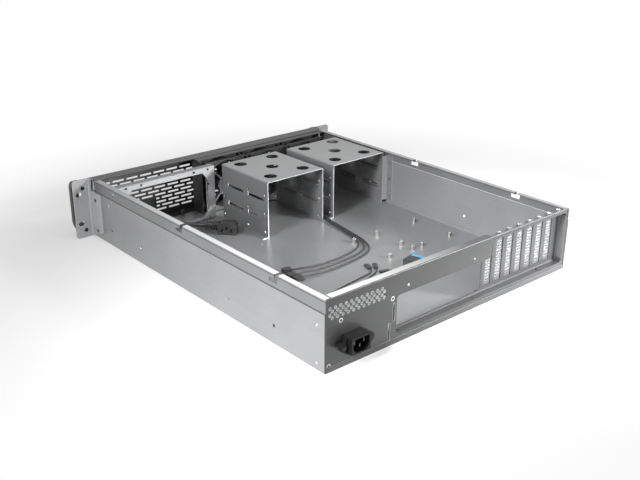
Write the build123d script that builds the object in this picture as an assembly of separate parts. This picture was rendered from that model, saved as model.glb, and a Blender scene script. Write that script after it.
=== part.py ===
from build123d import *
import math
import os

# An open 2U rackmount server case in millimetres.
# X runs across the rack, Y runs from the rack face to the rear, Z is up.
# The origin is on the underside, at the middle of the width, in the plane of the ears' back faces.

# Tray: one folded sheet that makes the floor, both side walls and their top rims.
BODY_W = 430.0
BODY_H = 88.0
BODY_D = 518.0
SHEET = 1.2
BEND = 0.8
BAND_INSET = 1.0
BAND_Z = BODY_H - 16.0
RIM_W = 8.0
FLOOR_START = 14.0
REAR_LIP_H = 6.5
CLEAR = 0.1
HALF_W = BODY_W / 2
WALL_IN = HALF_W - SHEET
BAND_IN = WALL_IN - BAND_INSET

# Hooks for the lid: angled slots in both walls.
HOOK_Y = (236.5, BODY_D - 88.0)
HOOK_L = 15.0
HOOK_H = 5.4
HOOK_Z = BAND_Z + 5.4
HOOK_MOUTH = 6.0
FRONT_HOOK_Y = 8.4
FRONT_HOOK_W = 3.0
FRONT_HOOK_FOOT = 5.0
RAIL_HOLE_Y = (57.0, 138.0, BODY_D - 177.4, BODY_D - 87.0)
RAIL_HOLE_Z = 24.0
RAIL_HOLE = 4.2
PANEL_TAB_X = (70.4, 150.0)
PANEL_TAB_W = 6.0
PANEL_TAB_H = 7.5

# Rack ears and handles.
EAR_REACH = 26.3
EAR_SPAN = BODY_W + 2 * EAR_REACH
EAR_SHEET = 2.0
EAR_CORNER = 3.0
EAR_RETURN = 34.0
EAR_BEND_Y = 5.0
EAR_CUT_Y = 27.0
EAR_CUT_Z = 11.0
RACK_HOLE_SPAN = EAR_SPAN - 17.5
RACK_SPACING = 44.45
RACK_LOW_Z = 21.8
RACK_HOLE_Z = (RACK_LOW_Z, RACK_LOW_Z + RACK_SPACING)
RACK_SLOT_L = 10.0
RACK_SLOT_H = 6.8
EAR_SCREW_Y = 17.4
EAR_SCREW_Z = (12.3, BAND_Z - 12.7)
EAR_SCREW_D = 5.5
HANDLE_X = HALF_W + 11.7
HANDLE_W = 12.0
HANDLE_OUT = 28.8
HANDLE_BAR = 11.0
HANDLE_Z = (6.0, BODY_H - 7.0)
HANDLE_CORNER = 9.0
HANDLE_HOLE_Z = (11.2, BODY_H - 12.8)
HANDLE_SCREW_D = 6.0
HANDLE_FOOT = 10.5
HANDLE_THREAD = 9.0

# Front panel: a black folded sheet in front of the ears.
PANEL_SHEET = 1.2
PANEL_TOP_D = 17.0
PANEL_FRONT = -(EAR_SHEET + PANEL_SHEET)
GRILLE_PITCH = 23.1
GRILLE_SLOT = 19.2
GRILLE_SLOT_H = 3.0
GRILLE_ROW = 6.05
GRILLE_ROWS = 11
GRILLE_TOP_Z = BODY_H - 14.7
GRILLE_PHASE = 52.4
GRILLE_HALF = HALF_W - 12.0
CONTROL_X = (HALF_W - 108.5, HALF_W - 10.0)
CONTROL_Z = (8.0, 34.0)

# Front controls.
POWER_X = HALF_W - 87.0
RESET_X = HALF_W - 69.0
LIGHT_X = (HALF_W - 59.0, HALF_W - 54.0)
USB_X = (HALF_W - 43.0, HALF_W - 26.0)
CONTROL_MID_Z = 21.0
POWER_D = 9.0
RESET_D = 4.0
BUTTON_PROUD = 1.8
BUTTON_TRAVEL = 1.5
BUTTON_COLLAR = 1.6
BUTTON_PLAY = 0.15
LIGHT_D = 3.0
USB_W = 13.1
USB_H = 5.7
USB_DEEP = 14.0
BOARD_Y = 8.0
BOARD_SHEET = 1.6

# Fans.
FAN_COUNT = 3
FAN_SIZE = BODY_H - 8.0
FAN_DEPTH = 25.0
FAN_FIRST_X = 0.0
FAN_FRONT_Y = 11.0
FAN_BASE_Z = 2.4
FAN_BORE = FAN_SIZE - 4.0
FAN_SIDES = 32
FAN_FLANGE = 4.0
FAN_HOLE_PITCH = FAN_SIZE - 8.5
FAN_HOLE = 4.4
FAN_HUB_D = 32.0
FAN_HUB_SIDES = 20
FAN_MOTOR_T = 3.0
FAN_STRUTS = 4
FAN_BLADES = 7
FAN_TIP_GAP = 1.0
FAN_SHAFT_D = 3.0
FAN_SHAFT_PLAY = 0.05
FAN_ROTOR_GAP = 0.6
FAN_BRACKET_SHEET = 1.2
FAN_BRACKET_X = (46.6, 8.0 - HALF_W)
FAN_BRACKET_TOP_D = 16.5

# Bracket that carries the power supply.
PSU_REAR_Y = 58.0
PSU_X = (38.2, BAND_IN - CLEAR)
PSU_TOP_Z = BODY_H - 2.0
PSU_FLANGE = 8.0
PSU_WINDOW_X = (50.5, 187.8)
PSU_WINDOW_Z = (7.4, BODY_H - 10.8)
PSU_CHAMFER = (9.0, 12.0)
PSU_MID_X = 119.2
PSU_HOLE_X = (69.3, 44.5)
PSU_HOLE_Z = (5.2, 29.4, BODY_H - 30.0, BODY_H - 6.6)
PSU_HOLE = 3.8

# Drive cages.
CAGE_W = 105.0
CAGE_X = (-25.1, -150.9)
CAGE_Y = (63.2, 177.0)
CAGE_SHEET = 1.0
CAGE_TOP_Z = BODY_H - 1.6
CAGE_HOLE_D = 20.0
CAGE_HOLE_SIDES = 20
CAGE_HOLE_PITCH = (60.8, 74.6)
CAGE_HOLE_SHIFT = 2.2
CAGE_SLOT_Y = ((77.8, 116.4), (128.0, 166.2))
CAGE_SLOT_H = 6.0
CAGE_SLOT_UP = 1.5
DRIVE_PITCH = (BODY_H - 30.8) / 2
DRIVE_BASE_Z = 2.1
DRIVE_SCREW_UP = 6.35
DRIVE_SCREW_Y = (68.3, 128.3, 169.9)
DRIVE_SCREW_D = 3.6
SHELF_DEEP = 4.0
SHELF_END = 2.0
CAGE_FOOT = 10.0
CAGE_FOOT_Y = (88.0, 167.0)
CAGE_FEET = ((10.0, 5.0), (5.0, 6.0))
CAGE_TIE_Z = (14.5, 42.0, BAND_Z - 4.4)
RIVET_D = 4.0
RIVET_T = 0.8
CAGE_TIE_H = (6.0, BODY_H - 8.0)
CAGE_TIE_LEG = 11.0

# Rear panel with its deep drawn recess.
REAR_Y = BODY_D - SHEET
REAR_FLANGE = 10.0
RECESS_D = 10.6
RECESS_LEFT = 106.2
RECESS_RIGHT = 5.2 - HALF_W
RECESS_FLOOR = 11.0
RECESS_IO_TOP = 59.6
RECESS_SLOT_TOP = BODY_H - 6.0
RECESS_STEP_X = -58.2
RECESS_CORNER = 5.0
RECESS_ROUND = 1.4
IO_W = 158.75
IO_H = 44.45
IO_LEFT = 105.4
IO_FLOOR = 13.0
SLOT_COUNT = 7
SLOT_PITCH = 20.32
SLOT_FIRST_X = -66.3
SLOT_WINDOW_W = 12.8
SLOT_WINDOW_Z = (17.4, RECESS_SLOT_TOP - 2.0)
LEDGE_HOLE_X = (97.8, -32.3, -162.1)
LEDGE_HOLE = 3.6
VENT_X = HALF_W - 8.5
VENT_SHIFT = 3.4
VENT_PITCH = 7.65
VENT_COLUMNS = 11
VENT_ROWS = 4
VENT_ROW = 3.9
VENT_TOP_Z = BODY_H - 12.4
VENT_HOLE = 4.2
BAR_SLOTS = ((110.6, 40.5), (117.4, 17.0))
BAR_SLOT_W = 2.6
BAR_SLOT_H = 22.0
SIDE_FLANGE_D = 14.0

# Expansion slot covers and their screws.
COVER_W = 18.42
COVER_SHEET = 1.0
COVER_FOOT_Z = 14.0
COVER_TAB = 10.6
COVER_HOLE = 3.8
COVER_HOLE_ROWS = 7
COVER_HOLE_PITCH = (SLOT_WINDOW_Z[1] - 31.4) / (COVER_HOLE_ROWS - 1)
COVER_HOLE_COLUMN = 4.1
COVER_HOLE_Z = 24.2
COVER_SCREW_SIDE = -SLOT_PITCH / 2
COVER_NOTCH = 0.35
SCREW_HEAD = 7.6
SCREW_HEAD_T = 3.4
SCREW_SHANK = 3.0

# Mains inlet.
INLET_X = 175.0
INLET_Z = 29.4
INLET_W = 28.4
INLET_H = 20.4
INLET_PROUD = 16.2
INLET_EAR_Y = 10.2
INLET_EAR_T = 3.6
INLET_EAR_SPAN = 49.6
INLET_EAR_TIP = 3.4
INLET_EAR_ROUND = 3.2
INLET_BOSS = 7.0
INLET_HEAD = 5.2
INLET_SCREW_PITCH = 40.0
INLET_DEEP = 17.5
INLET_SOCKET = (23.6, 16.4)
INLET_SOCKET_CHAMFER = 4.6
INLET_SOCKET_DEPTH = 16.0
INLET_PIN_L = 14.0
INLET_PIN_UP = 2.0

# Board standoffs, on the usual board hole pattern.
POST_X = (100.5, -57.0, -181.5)
POST_Y = (BODY_D - 20.8, BODY_D - 175.7, BODY_D - 248.1)
POST_EXTRA_X = (-102.7, -123.0)
POST_EXTRA_Y = BODY_D - 198.6
POST_AF = 5.0
POST_H = 6.5

# Loose mains plug that lies behind the power supply bracket.
PLUG_TAIL = (79.5, 93.5)
PLUG_TURN = -48.0
PLUG_RELIEF = 20.0
PLUG_W = 27.2
PLUG_D = 20.0
PLUG_H = 17.0
PLUG_CHAMFER = 4.5
PLUG_AXIS = 5.0
MAINS_D = 6.4

# Small plugs on the loose leads.
FAN_PLUG = (12.0, 10.0, 5.6)
FAN_LEAD_D = 2.4
SMALL_PLUG = (14.0, 5.6, 2.6)
SMALL_LEAD_D = 1.6
HARNESS_D = 3.6
SPLITTER = (14.0, 8.0, 4.4)
USB_LEAD_D = 5.0
USB_PLUG = (24.0, 26.0, 9.0)
USB_RELIEF = 14.0
GENTLE_TURN = 0.4
GENTLE_RADIUS = 6.0


def unit(start, end):
    """Direction from one point of a section to the next."""
    dx, dz = end[0] - start[0], end[1] - start[1]
    length = math.hypot(dx, dz)
    return dx / length, dz / length


def left_of(points, distance):
    """The same line moved to its left, with mitred corners."""
    ways = [unit(a, b) for a, b in zip(points, points[1:])]
    moved = []
    for index, point in enumerate(points):
        before = ways[max(index - 1, 0)]
        after = ways[min(index, len(ways) - 1)]
        share = distance / (1 + before[0] * after[0] + before[1] * after[1])
        moved.append(
            (
                point[0] - share * (before[1] + after[1]),
                point[1] + share * (before[0] + after[0]),
            )
        )
    return moved


def folded(points, sheet=SHEET, bend=BEND):
    """Section of a bent sheet: points run along one face, the sheet lies to their left."""
    ways = [unit(a, b) for a, b in zip(points, points[1:])]
    left = [a[0] * b[1] - a[1] * b[0] > 0 for a, b in zip(ways, ways[1:])]
    near = [bend + sheet if turn else bend for turn in left]
    far = [bend if turn else bend + sheet for turn in left]
    other = left_of(points, sheet)
    first = FilletPolyline(*points, radius=near)
    second = FilletPolyline(*other, radius=far)
    ends = [Line(points[0], other[0]), Line(points[-1], other[-1])]
    return make_face(first.edges() + second.edges() + ends)


def along_y(face, start, end):
    """Extrude an X Z section from one Y to another."""
    return extrude(Plane.XZ.offset(-start) * face, amount=start - end)


def along_x(face, start, end):
    """Extrude a Y Z section from one X to another."""
    return extrude(Plane.YZ.offset(start) * face, amount=end - start)


def along_z(face, start, end):
    """Extrude an X Y section from one Z to another."""
    return extrude(Plane.XY.offset(start) * face, amount=end - start)


def block(xs, ys, zs):
    """A box between two X, two Y and two Z values, in any order."""
    low = [min(pair) for pair in (xs, ys, zs)]
    size = [max(pair) - min(pair) for pair in (xs, ys, zs)]
    return Pos(*low) * Box(*size, align=(Align.MIN, Align.MIN, Align.MIN))


def hexagon(across):
    """A six-sided hole or head, by its width across the flats."""
    return RegularPolygon(across / 2, 6, major_radius=False)


def octagon(across):
    """An eight-sided hole or head that stands for a small round one."""
    return RegularPolygon(across / 2, 8, major_radius=False)


def rounded(diameter, sides):
    """A round outline as a polygon with as many sides as its size needs."""
    return RegularPolygon(diameter / 2, sides)


def scattered(shape, places):
    """One flat sketch that repeats a shape at a list of places."""
    return Sketch() + [Pos(*place) * shape for place in places]


def mirrored(part):
    """The same piece on the other side of the case."""
    return mirror(part, Plane.YZ)


def tray_section():
    """Section across the tray, seen from the front."""
    band = HALF_W - BAND_INSET
    right = [
        (HALF_W, 0),
        (HALF_W, BAND_Z),
        (band, BAND_Z + BAND_INSET),
        (band, BODY_H),
        (band - RIM_W, BODY_H),
    ]
    left = [(-x, z) for x, z in reversed(right)]
    return folded(left + right)


def hook_cuts():
    """Angled slots that the lid's tongues drop into, and the narrow one by the ear."""
    inner = HALF_W - BAND_INSET - RIM_W - 1
    cuts = []
    for middle in HOOK_Y:
        front, back = middle - HOOK_L / 2, middle + HOOK_L / 2
        cuts.append(block((BAND_IN - 1, HALF_W + 1), (front, back), (HOOK_Z, HOOK_Z + HOOK_H)))
        mouth = (back - HOOK_MOUTH, back)
        cuts.append(block((inner, HALF_W + 1), mouth, (HOOK_Z, BODY_H + 1)))
    narrow = (FRONT_HOOK_Y, FRONT_HOOK_Y + FRONT_HOOK_W)
    foot = (FRONT_HOOK_Y, FRONT_HOOK_Y + FRONT_HOOK_W + FRONT_HOOK_FOOT)
    low = BAND_Z - BAND_INSET
    cuts.append(block((BAND_IN - 1, HALF_W + 1), narrow, (low, BODY_H + 1)))
    cuts.append(block((BAND_IN - 1, HALF_W + 1), foot, (low, low + FRONT_HOOK_W)))
    return cuts


def base_tray():
    """Floor, side walls, stepped top bands and rims, with a low lip at the rear."""
    tray = along_y(tray_section(), 0, BODY_D)
    flat = WALL_IN - BEND
    tray -= block((-flat, flat), (-1, FLOOR_START), (-1, SHEET + 1))
    tray += block((-WALL_IN, WALL_IN), (REAR_Y, BODY_D), (SHEET / 2, REAR_LIP_H))
    side = hook_cuts()
    rim = (HALF_W - BAND_INSET - RIM_W - 1, BAND_IN)
    side.append(block(rim, (-1, PANEL_TOP_D + CLEAR), (BODY_H - SHEET - BEND, BODY_H + 1)))
    side.append(block(rim, (REAR_Y - SHEET - CLEAR, BODY_D + 1), (BODY_H - SHEET - BEND, BODY_H + 1)))
    rail = scattered(hexagon(RAIL_HOLE), [(y, RAIL_HOLE_Z) for y in RAIL_HOLE_Y])
    side.append(along_x(rail, WALL_IN - 1, HALF_W + 1))
    screws = scattered(octagon(EAR_SCREW_D), [(EAR_SCREW_Y, z) for z in EAR_SCREW_Z])
    side.append(along_x(screws, WALL_IN - 1, HALF_W + 1))
    tray -= side
    tray -= [mirrored(cut) for cut in side]
    for x in PANEL_TAB_X:
        width = (x - PANEL_TAB_W / 2, x + PANEL_TAB_W / 2)
        depth = (FLOOR_START, FLOOR_START + SHEET)
        tray += block(width, depth, (SHEET / 2, SHEET + PANEL_TAB_H))
    return tray


def recess_outline(grow):
    """Outline of the drawn recess, grown outwards all round by a distance."""
    left, right = RECESS_LEFT + grow, RECESS_RIGHT - grow
    low, high = RECESS_FLOOR - grow, RECESS_SLOT_TOP + grow
    step_x, step_z = RECESS_STEP_X + grow, RECESS_IO_TOP + grow
    points = [(left, low), (left, step_z), (step_x, step_z), (step_x, high), (right, high), (right, low)]
    outside = RECESS_CORNER + grow
    inside = RECESS_CORNER - grow
    radii = [outside, outside, inside, outside, outside, outside]
    return make_face(FilletPolyline(*points, radius=radii, close=True).edges())


def drawn(outline, depth, edge):
    """The block that a punch of this outline pushes in, with its end edges eased."""
    body = along_y(outline, REAR_Y - depth, REAR_Y)
    end = body.faces().sort_by(Axis.Y)[0]
    return chamfer(end.edges(), edge)


def vent_places():
    """Staggered field of small holes above the mains inlet."""
    places = []
    for row in range(VENT_ROWS):
        shift = VENT_SHIFT if row % 2 else 0
        z = VENT_TOP_Z - VENT_ROW * row
        places += [(VENT_X - shift - VENT_PITCH * i, z) for i in range(VENT_COLUMNS)]
    return places


def slot_x(index):
    """Middle of an expansion slot."""
    return SLOT_FIRST_X - SLOT_PITCH * index


def rear_sheet():
    """Flat of the rear panel with its floor flange, top flange and short side flanges."""
    front = REAR_Y - SHEET
    path = [
        (front - REAR_FLANGE, SHEET),
        (REAR_Y, SHEET),
        (REAR_Y, BODY_H),
        (front - REAR_FLANGE + SHEET, BODY_H),
    ]
    high = BAND_IN - CLEAR
    sheet = along_x(folded(path), -high, high)
    wide = (REAR_LIP_H + BEND, BAND_Z - 2 * BEND)
    for side in (-1, 1):
        sheet += block((side * (high - 1), side * (WALL_IN - CLEAR)), (front, REAR_Y), wide)
        flange = (side * (WALL_IN - CLEAR), side * (WALL_IN - CLEAR - SHEET))
        sheet += block(flange, (front - SIDE_FLANGE_D, front), wide)
        corner = (side * (high - RIM_W - 1), side * (high + 1))
        sheet -= block(corner, (front - REAR_FLANGE, front), (BODY_H - SHEET - BEND, BODY_H + 1))
    return sheet


def rear_panel():
    """Rear panel: vents, mains inlet opening and the deep drawn recess for the board's outlets."""
    panel = rear_sheet()
    shelf = (RECESS_STEP_X + SHEET, RECESS_RIGHT - SHEET)
    panel -= block(shelf, (REAR_Y - SHEET - REAR_FLANGE - 1, REAR_Y - SHEET), (RECESS_SLOT_TOP + SHEET, BODY_H + 1))
    panel += drawn(recess_outline(SHEET), RECESS_D + SHEET, RECESS_ROUND + SHEET)
    panel -= drawn(recess_outline(0), RECESS_D, RECESS_ROUND)
    back = REAR_Y - RECESS_D
    cuts = [block((IO_LEFT, IO_LEFT - IO_W), (back - 2 * SHEET, back + 1), (IO_FLOOR, IO_FLOOR + IO_H))]
    for index in range(SLOT_COUNT):
        half = SLOT_WINDOW_W / 2
        width = (slot_x(index) - half, slot_x(index) + half)
        cuts.append(block(width, (back - 2 * SHEET, back + 1), SLOT_WINDOW_Z))
    round_holes = scattered(hexagon(VENT_HOLE), vent_places())
    cuts.append(along_y(round_holes, REAR_Y - 2 * SHEET, REAR_Y + 1))
    bars = scattered(Rectangle(BAR_SLOT_W, BAR_SLOT_H), BAR_SLOTS)
    cuts.append(along_y(bars, REAR_Y - 2 * SHEET, REAR_Y + 1))
    inlet = Pos(INLET_X, INLET_Z) * Rectangle(INLET_W + 2 * CLEAR, INLET_H + 2 * CLEAR)
    inlet_screws = [(INLET_X + s * INLET_SCREW_PITCH / 2, INLET_Z) for s in (-1, 1)]
    cuts.append(along_y(inlet, REAR_Y - 2 * SHEET, REAR_Y + 1))
    cuts.append(along_y(scattered(hexagon(SCREW_SHANK + 0.4), inlet_screws), REAR_Y - 2 * SHEET, REAR_Y + 1))
    ledge = scattered(hexagon(LEDGE_HOLE), [(x, REAR_Y - RECESS_D / 2) for x in LEDGE_HOLE_X])
    cuts.append(along_z(ledge, RECESS_FLOOR - 2 * SHEET, RECESS_FLOOR + 1))
    tapped = [(slot_x(i) + COVER_SCREW_SIDE, screw_y()) for i in range(SLOT_COUNT)]
    tapped_holes = scattered(hexagon(SCREW_SHANK + 0.2), tapped)
    cuts.append(along_z(tapped_holes, RECESS_SLOT_TOP - 0.5, RECESS_SLOT_TOP + 2 * SHEET))
    return panel - cuts


def screw_y():
    """Line of the slot screws, on the shelf above the recess."""
    return REAR_Y - RECESS_D * 0.5


def slot_cover(index):
    """One expansion slot cover: a perforated strip with a screw tab bent over the shelf."""
    top = RECESS_SLOT_TOP + SHEET + COVER_SHEET
    front = REAR_Y - RECESS_D - SHEET - COVER_SHEET
    path = [(front, COVER_FOOT_Z), (front, top), (front + COVER_SHEET + COVER_TAB, top)]
    mirrored_path = [(-y, z) for y, z in path]
    section = mirror(folded(mirrored_path, COVER_SHEET), Plane.YZ)
    middle = slot_x(index)
    cover = along_x(section, middle - COVER_W / 2, middle + COVER_W / 2)
    places = []
    for row in range(COVER_HOLE_ROWS):
        z = COVER_HOLE_Z + row * COVER_HOLE_PITCH
        places.append((middle + COVER_HOLE_COLUMN / 2, z))
        if row + 1 < COVER_HOLE_ROWS:
            places.append((middle - COVER_HOLE_COLUMN / 2, z + COVER_HOLE_PITCH / 2))
    holes = scattered(Rot(0, 0, 45) * Rectangle(COVER_HOLE, COVER_HOLE), places)
    cover -= along_y(holes, front - 1, front + 2 * COVER_SHEET)
    room = SCREW_SHANK / 2 + COVER_NOTCH
    reach = (screw_y() - room, screw_y() + room)
    for side in (middle - SLOT_PITCH / 2, middle + SLOT_PITCH / 2):
        cover -= block((side - room, side + room), reach, (top - 2 * COVER_SHEET, top + 1))
    return cover


def slot_screws():
    """Hex head screws that hold the slot covers down."""
    places = [(slot_x(i) + COVER_SCREW_SIDE, screw_y()) for i in range(SLOT_COUNT)]
    seat = RECESS_SLOT_TOP + SHEET + COVER_SHEET
    heads = along_z(scattered(hexagon(SCREW_HEAD), places), seat, seat + SCREW_HEAD_T)
    shanks = along_z(scattered(hexagon(SCREW_SHANK), places), RECESS_SLOT_TOP, seat)
    return heads + shanks


def inlet_outline():
    """Plate with a rounded ear on both sides of the inlet's body."""
    half, rise = INLET_W / 2, INLET_H / 2
    tip, blunt = INLET_EAR_SPAN / 2, INLET_EAR_TIP
    right = [(half, rise), (tip, blunt), (tip, -blunt), (half, -rise)]
    left = [(-x, -z) for x, z in right]
    tips = INLET_EAR_ROUND
    outline = FilletPolyline(*right, *left, radius=[0, tips, tips, 0] * 2, close=True)
    return Pos(INLET_X, INLET_Z) * make_face(outline.edges())


def inlet_housing():
    """Black mains inlet that stands proud of the rear panel, with an eared plate on two bosses."""
    mouth = REAR_Y + INLET_PROUD
    body = Pos(INLET_X, INLET_Z) * Rectangle(INLET_W, INLET_H)
    housing = along_y(body, REAR_Y - INLET_DEEP, mouth)
    housing = fillet(housing.edges().filter_by(Axis.Y), 1.5)
    front = REAR_Y + INLET_EAR_Y
    housing += along_y(inlet_outline(), front - INLET_EAR_T, front)
    screws = [(INLET_X + s * INLET_SCREW_PITCH / 2, INLET_Z) for s in (-1, 1)]
    housing += along_y(scattered(octagon(INLET_BOSS), screws), REAR_Y, front - INLET_EAR_T)
    wide, tall = INLET_SOCKET[0] / 2, INLET_SOCKET[1] / 2
    cut = INLET_SOCKET_CHAMFER
    points = [(-wide, tall), (wide, tall), (wide, cut - tall), (wide - cut, -tall), (cut - wide, -tall), (-wide, cut - tall)]
    socket = Pos(INLET_X, INLET_Z) * make_face(Polyline(*points, close=True).edges())
    housing -= along_y(socket, mouth - INLET_SOCKET_DEPTH, mouth + 1)
    shank = scattered(hexagon(SCREW_SHANK + 0.2), screws)
    housing -= along_y(shank, REAR_Y - 1, REAR_Y + INLET_EAR_Y + 1)
    return housing


def inlet_pins():
    """Three flat blades: live, neutral and the lower earth."""
    base = REAR_Y + INLET_PROUD - INLET_SOCKET_DEPTH
    pins = []
    for x, z, longer in ((-INLET_PIN_L / 2, INLET_PIN_UP, 0), (INLET_PIN_L / 2, INLET_PIN_UP, 0), (0, -INLET_PIN_UP, 1)):
        width = (INLET_X + x - 1, INLET_X + x + 1)
        pins.append(block(width, (base, base + 12 + longer), (INLET_Z + z - 2, INLET_Z + z + 2)))
    return Part() + pins


def inlet_screws():
    """Two screws through the inlet's ears."""
    screws = [(INLET_X + s * INLET_SCREW_PITCH / 2, INLET_Z) for s in (-1, 1)]
    seat = REAR_Y + INLET_EAR_Y
    heads = along_y(scattered(octagon(INLET_HEAD), screws), seat, seat + 1.6)
    shanks = along_y(scattered(hexagon(SCREW_SHANK), screws), REAR_Y - SHEET - 3, seat)
    return heads + shanks


def rack_ear():
    """Angle that carries the case in the rack, on the +X side."""
    tip = EAR_SPAN / 2
    path = [(tip, -EAR_SHEET), (HALF_W, -EAR_SHEET), (HALF_W, EAR_RETURN)]
    flipped = folded([(-x, y) for x, y in path], EAR_SHEET, 1.5)
    ear = along_z(mirror(flipped, Plane.YZ), 0, BODY_H)
    corners = ear.edges().filter_by(Axis.Y).group_by(Axis.X)[-1]
    ear = fillet(corners, EAR_CORNER)
    low = Polyline((-1, -1), (-1, EAR_CUT_Z / EAR_CUT_Y), (EAR_RETURN + 1, EAR_CUT_Z + 3), (EAR_RETURN + 1, -1), close=True)
    cut = along_x(make_face(low.edges()), HALF_W - 1, HALF_W + EAR_SHEET)
    ear -= cut - block((0, tip), (-3, 2), (-2, BODY_H))
    above = (BAND_Z - BAND_INSET, BODY_H + 1)
    ear -= block((HALF_W - 1, HALF_W + EAR_SHEET + 1), (EAR_BEND_Y, EAR_RETURN + 1), above)
    slots = scattered(SlotOverall(RACK_SLOT_L, RACK_SLOT_H), [(RACK_HOLE_SPAN / 2, z) for z in RACK_HOLE_Z])
    ear -= along_y(slots, -EAR_SHEET - 1, 1)
    handle = scattered(octagon(HANDLE_SCREW_D), [(HANDLE_X, z) for z in HANDLE_HOLE_Z])
    ear -= along_y(handle, -EAR_SHEET - 1, 1)
    screws = scattered(octagon(EAR_SCREW_D), [(EAR_SCREW_Y, z) for z in EAR_SCREW_Z])
    return ear - along_x(screws, HALF_W - 1, HALF_W + EAR_SHEET + 1)


def handle():
    """C-shaped black handle on the +X ear."""
    low, high = HANDLE_Z
    root, tip = PANEL_FRONT, PANEL_FRONT - HANDLE_OUT
    outer = FilletPolyline(
        (root, low), (root, high), (tip, high), (tip, low),
        radius=[0, 0, HANDLE_CORNER, HANDLE_CORNER], close=True,
    )
    inner = FilletPolyline(
        (root, low + HANDLE_FOOT), (root, high - HANDLE_FOOT),
        (tip + HANDLE_BAR, high - HANDLE_FOOT), (tip + HANDLE_BAR, low + HANDLE_FOOT),
        radius=[0, 0, HANDLE_CORNER - 3, HANDLE_CORNER - 3], close=True,
    )
    section = make_face(outer.edges()) - make_face(inner.edges())
    grip = along_x(section, HANDLE_X - HANDLE_W / 2, HANDLE_X + HANDLE_W / 2)
    grip = chamfer(grip.faces().sort_by(Axis.Y)[0].edges().filter_by(Axis.Z), 1.6)
    shank = scattered(hexagon(SCREW_SHANK + 0.2), [(HANDLE_X, z) for z in HANDLE_HOLE_Z])
    return grip - along_y(shank, root - HANDLE_THREAD - 1, root + 1)


def handle_screws():
    """Flush screws that hold both handles from behind the ears."""
    places = [(s * HANDLE_X, z) for s in (-1, 1) for z in HANDLE_HOLE_Z]
    heads = along_y(scattered(octagon(HANDLE_SCREW_D - 2 * CLEAR), places), -EAR_SHEET, -0.2)
    shanks = along_y(scattered(hexagon(SCREW_SHANK), places), PANEL_FRONT - HANDLE_THREAD, -EAR_SHEET)
    return heads + shanks


def ear_screws():
    """Pan head screws through the ears and side walls into the front panel's flanges."""
    places = [(EAR_SCREW_Y, z) for z in EAR_SCREW_Z]
    out = HALF_W + EAR_SHEET
    body = along_x(scattered(octagon(EAR_SCREW_D - 2 * CLEAR), places), WALL_IN, out)
    return body + mirrored(body)


def grille_slots():
    """Rows of long slots, every second row shifted by half a pitch, clear of the controls."""
    shapes = []
    for row in range(GRILLE_ROWS):
        z = GRILLE_TOP_Z - row * GRILLE_ROW
        phase = GRILLE_PHASE + (GRILLE_PITCH / 2 if row % 2 else 0)
        first = math.ceil((-GRILLE_HALF + GRILLE_SLOT / 2 - phase) / GRILLE_PITCH)
        last = math.floor((GRILLE_HALF - GRILLE_SLOT / 2 - phase) / GRILLE_PITCH)
        for step in range(first, last + 1):
            start = phase + step * GRILLE_PITCH - GRILLE_SLOT / 2
            end = start + GRILLE_SLOT
            if z < CONTROL_Z[1] and end > CONTROL_X[0]:
                end = CONTROL_X[0]
            if end - start > GRILLE_SLOT_H:
                place = Pos((start + end) / 2, z)
                shapes.append(place * Rectangle(end - start, GRILLE_SLOT_H))
    return Sketch() + shapes


def front_panel():
    """Black front: a slotted plate over the ears with flanges folded back into the case."""
    half, tip = BAND_IN - CLEAR, EAR_SPAN / 2
    back = -EAR_SHEET
    plate = Pos(0, BODY_H / 2) * RectangleRounded(EAR_SPAN, BODY_H, EAR_CORNER)
    panel = along_y(plate, PANEL_FRONT, back)
    low, high = (0, PANEL_SHEET), (BODY_H - PANEL_SHEET, BODY_H)
    panel += block((-half, half), (back, PANEL_TOP_D), high)
    panel += block((-half, half), (back, FLOOR_START - CLEAR), low)
    for side in (-1, 1):
        wall = (side * (WALL_IN - CLEAR), side * (WALL_IN - CLEAR - PANEL_SHEET))
        panel += block(wall, (back, EAR_SCREW_Y + 6), (2 * BEND + SHEET, BAND_Z - 2))
    cuts = [along_y(grille_slots(), PANEL_FRONT - 1, back + 1)]
    racks = [(s * RACK_HOLE_SPAN / 2, z) for s in (-1, 1) for z in RACK_HOLE_Z]
    cuts.append(along_y(scattered(SlotOverall(RACK_SLOT_L, RACK_SLOT_H), racks), PANEL_FRONT - 1, back + 1))
    handles = [(s * HANDLE_X, z) for s in (-1, 1) for z in HANDLE_HOLE_Z]
    cuts.append(along_y(scattered(hexagon(SCREW_SHANK + 0.4), handles), PANEL_FRONT - 1, back + 1))
    controls = [Pos(POWER_X, CONTROL_MID_Z) * octagon(POWER_D + 2 * BUTTON_PLAY)]
    controls.append(Pos(RESET_X, CONTROL_MID_Z) * octagon(RESET_D + 2 * BUTTON_PLAY))
    controls += [Pos(x, CONTROL_MID_Z) * hexagon(LIGHT_D + 2 * CLEAR) for x in LIGHT_X]
    controls += [Pos(x, CONTROL_MID_Z) * Rectangle(USB_W + 2 * CLEAR, USB_H + 2 * CLEAR) for x in USB_X]
    cuts.append(along_y(Sketch() + controls, PANEL_FRONT - 1, back + 1))
    return panel - cuts


def button(x, diameter):
    """A push button with a collar behind the panel and a stem towards its switch."""
    face = PANEL_FRONT - BUTTON_PROUD
    collar = -EAR_SHEET + CLEAR
    stem = switch_face() - BUTTON_TRAVEL - 2 * CLEAR
    at = Pos(x, CONTROL_MID_Z)
    cap = along_y(at * octagon(diameter), face, collar)
    cap += along_y(at * octagon(diameter + 2), collar, collar + BUTTON_COLLAR)
    return cap + along_y(at * hexagon(2.4), collar + BUTTON_COLLAR, stem)


def switch_face():
    """Front faces of the two switches on the control board."""
    return BOARD_Y - 3.5


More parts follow.
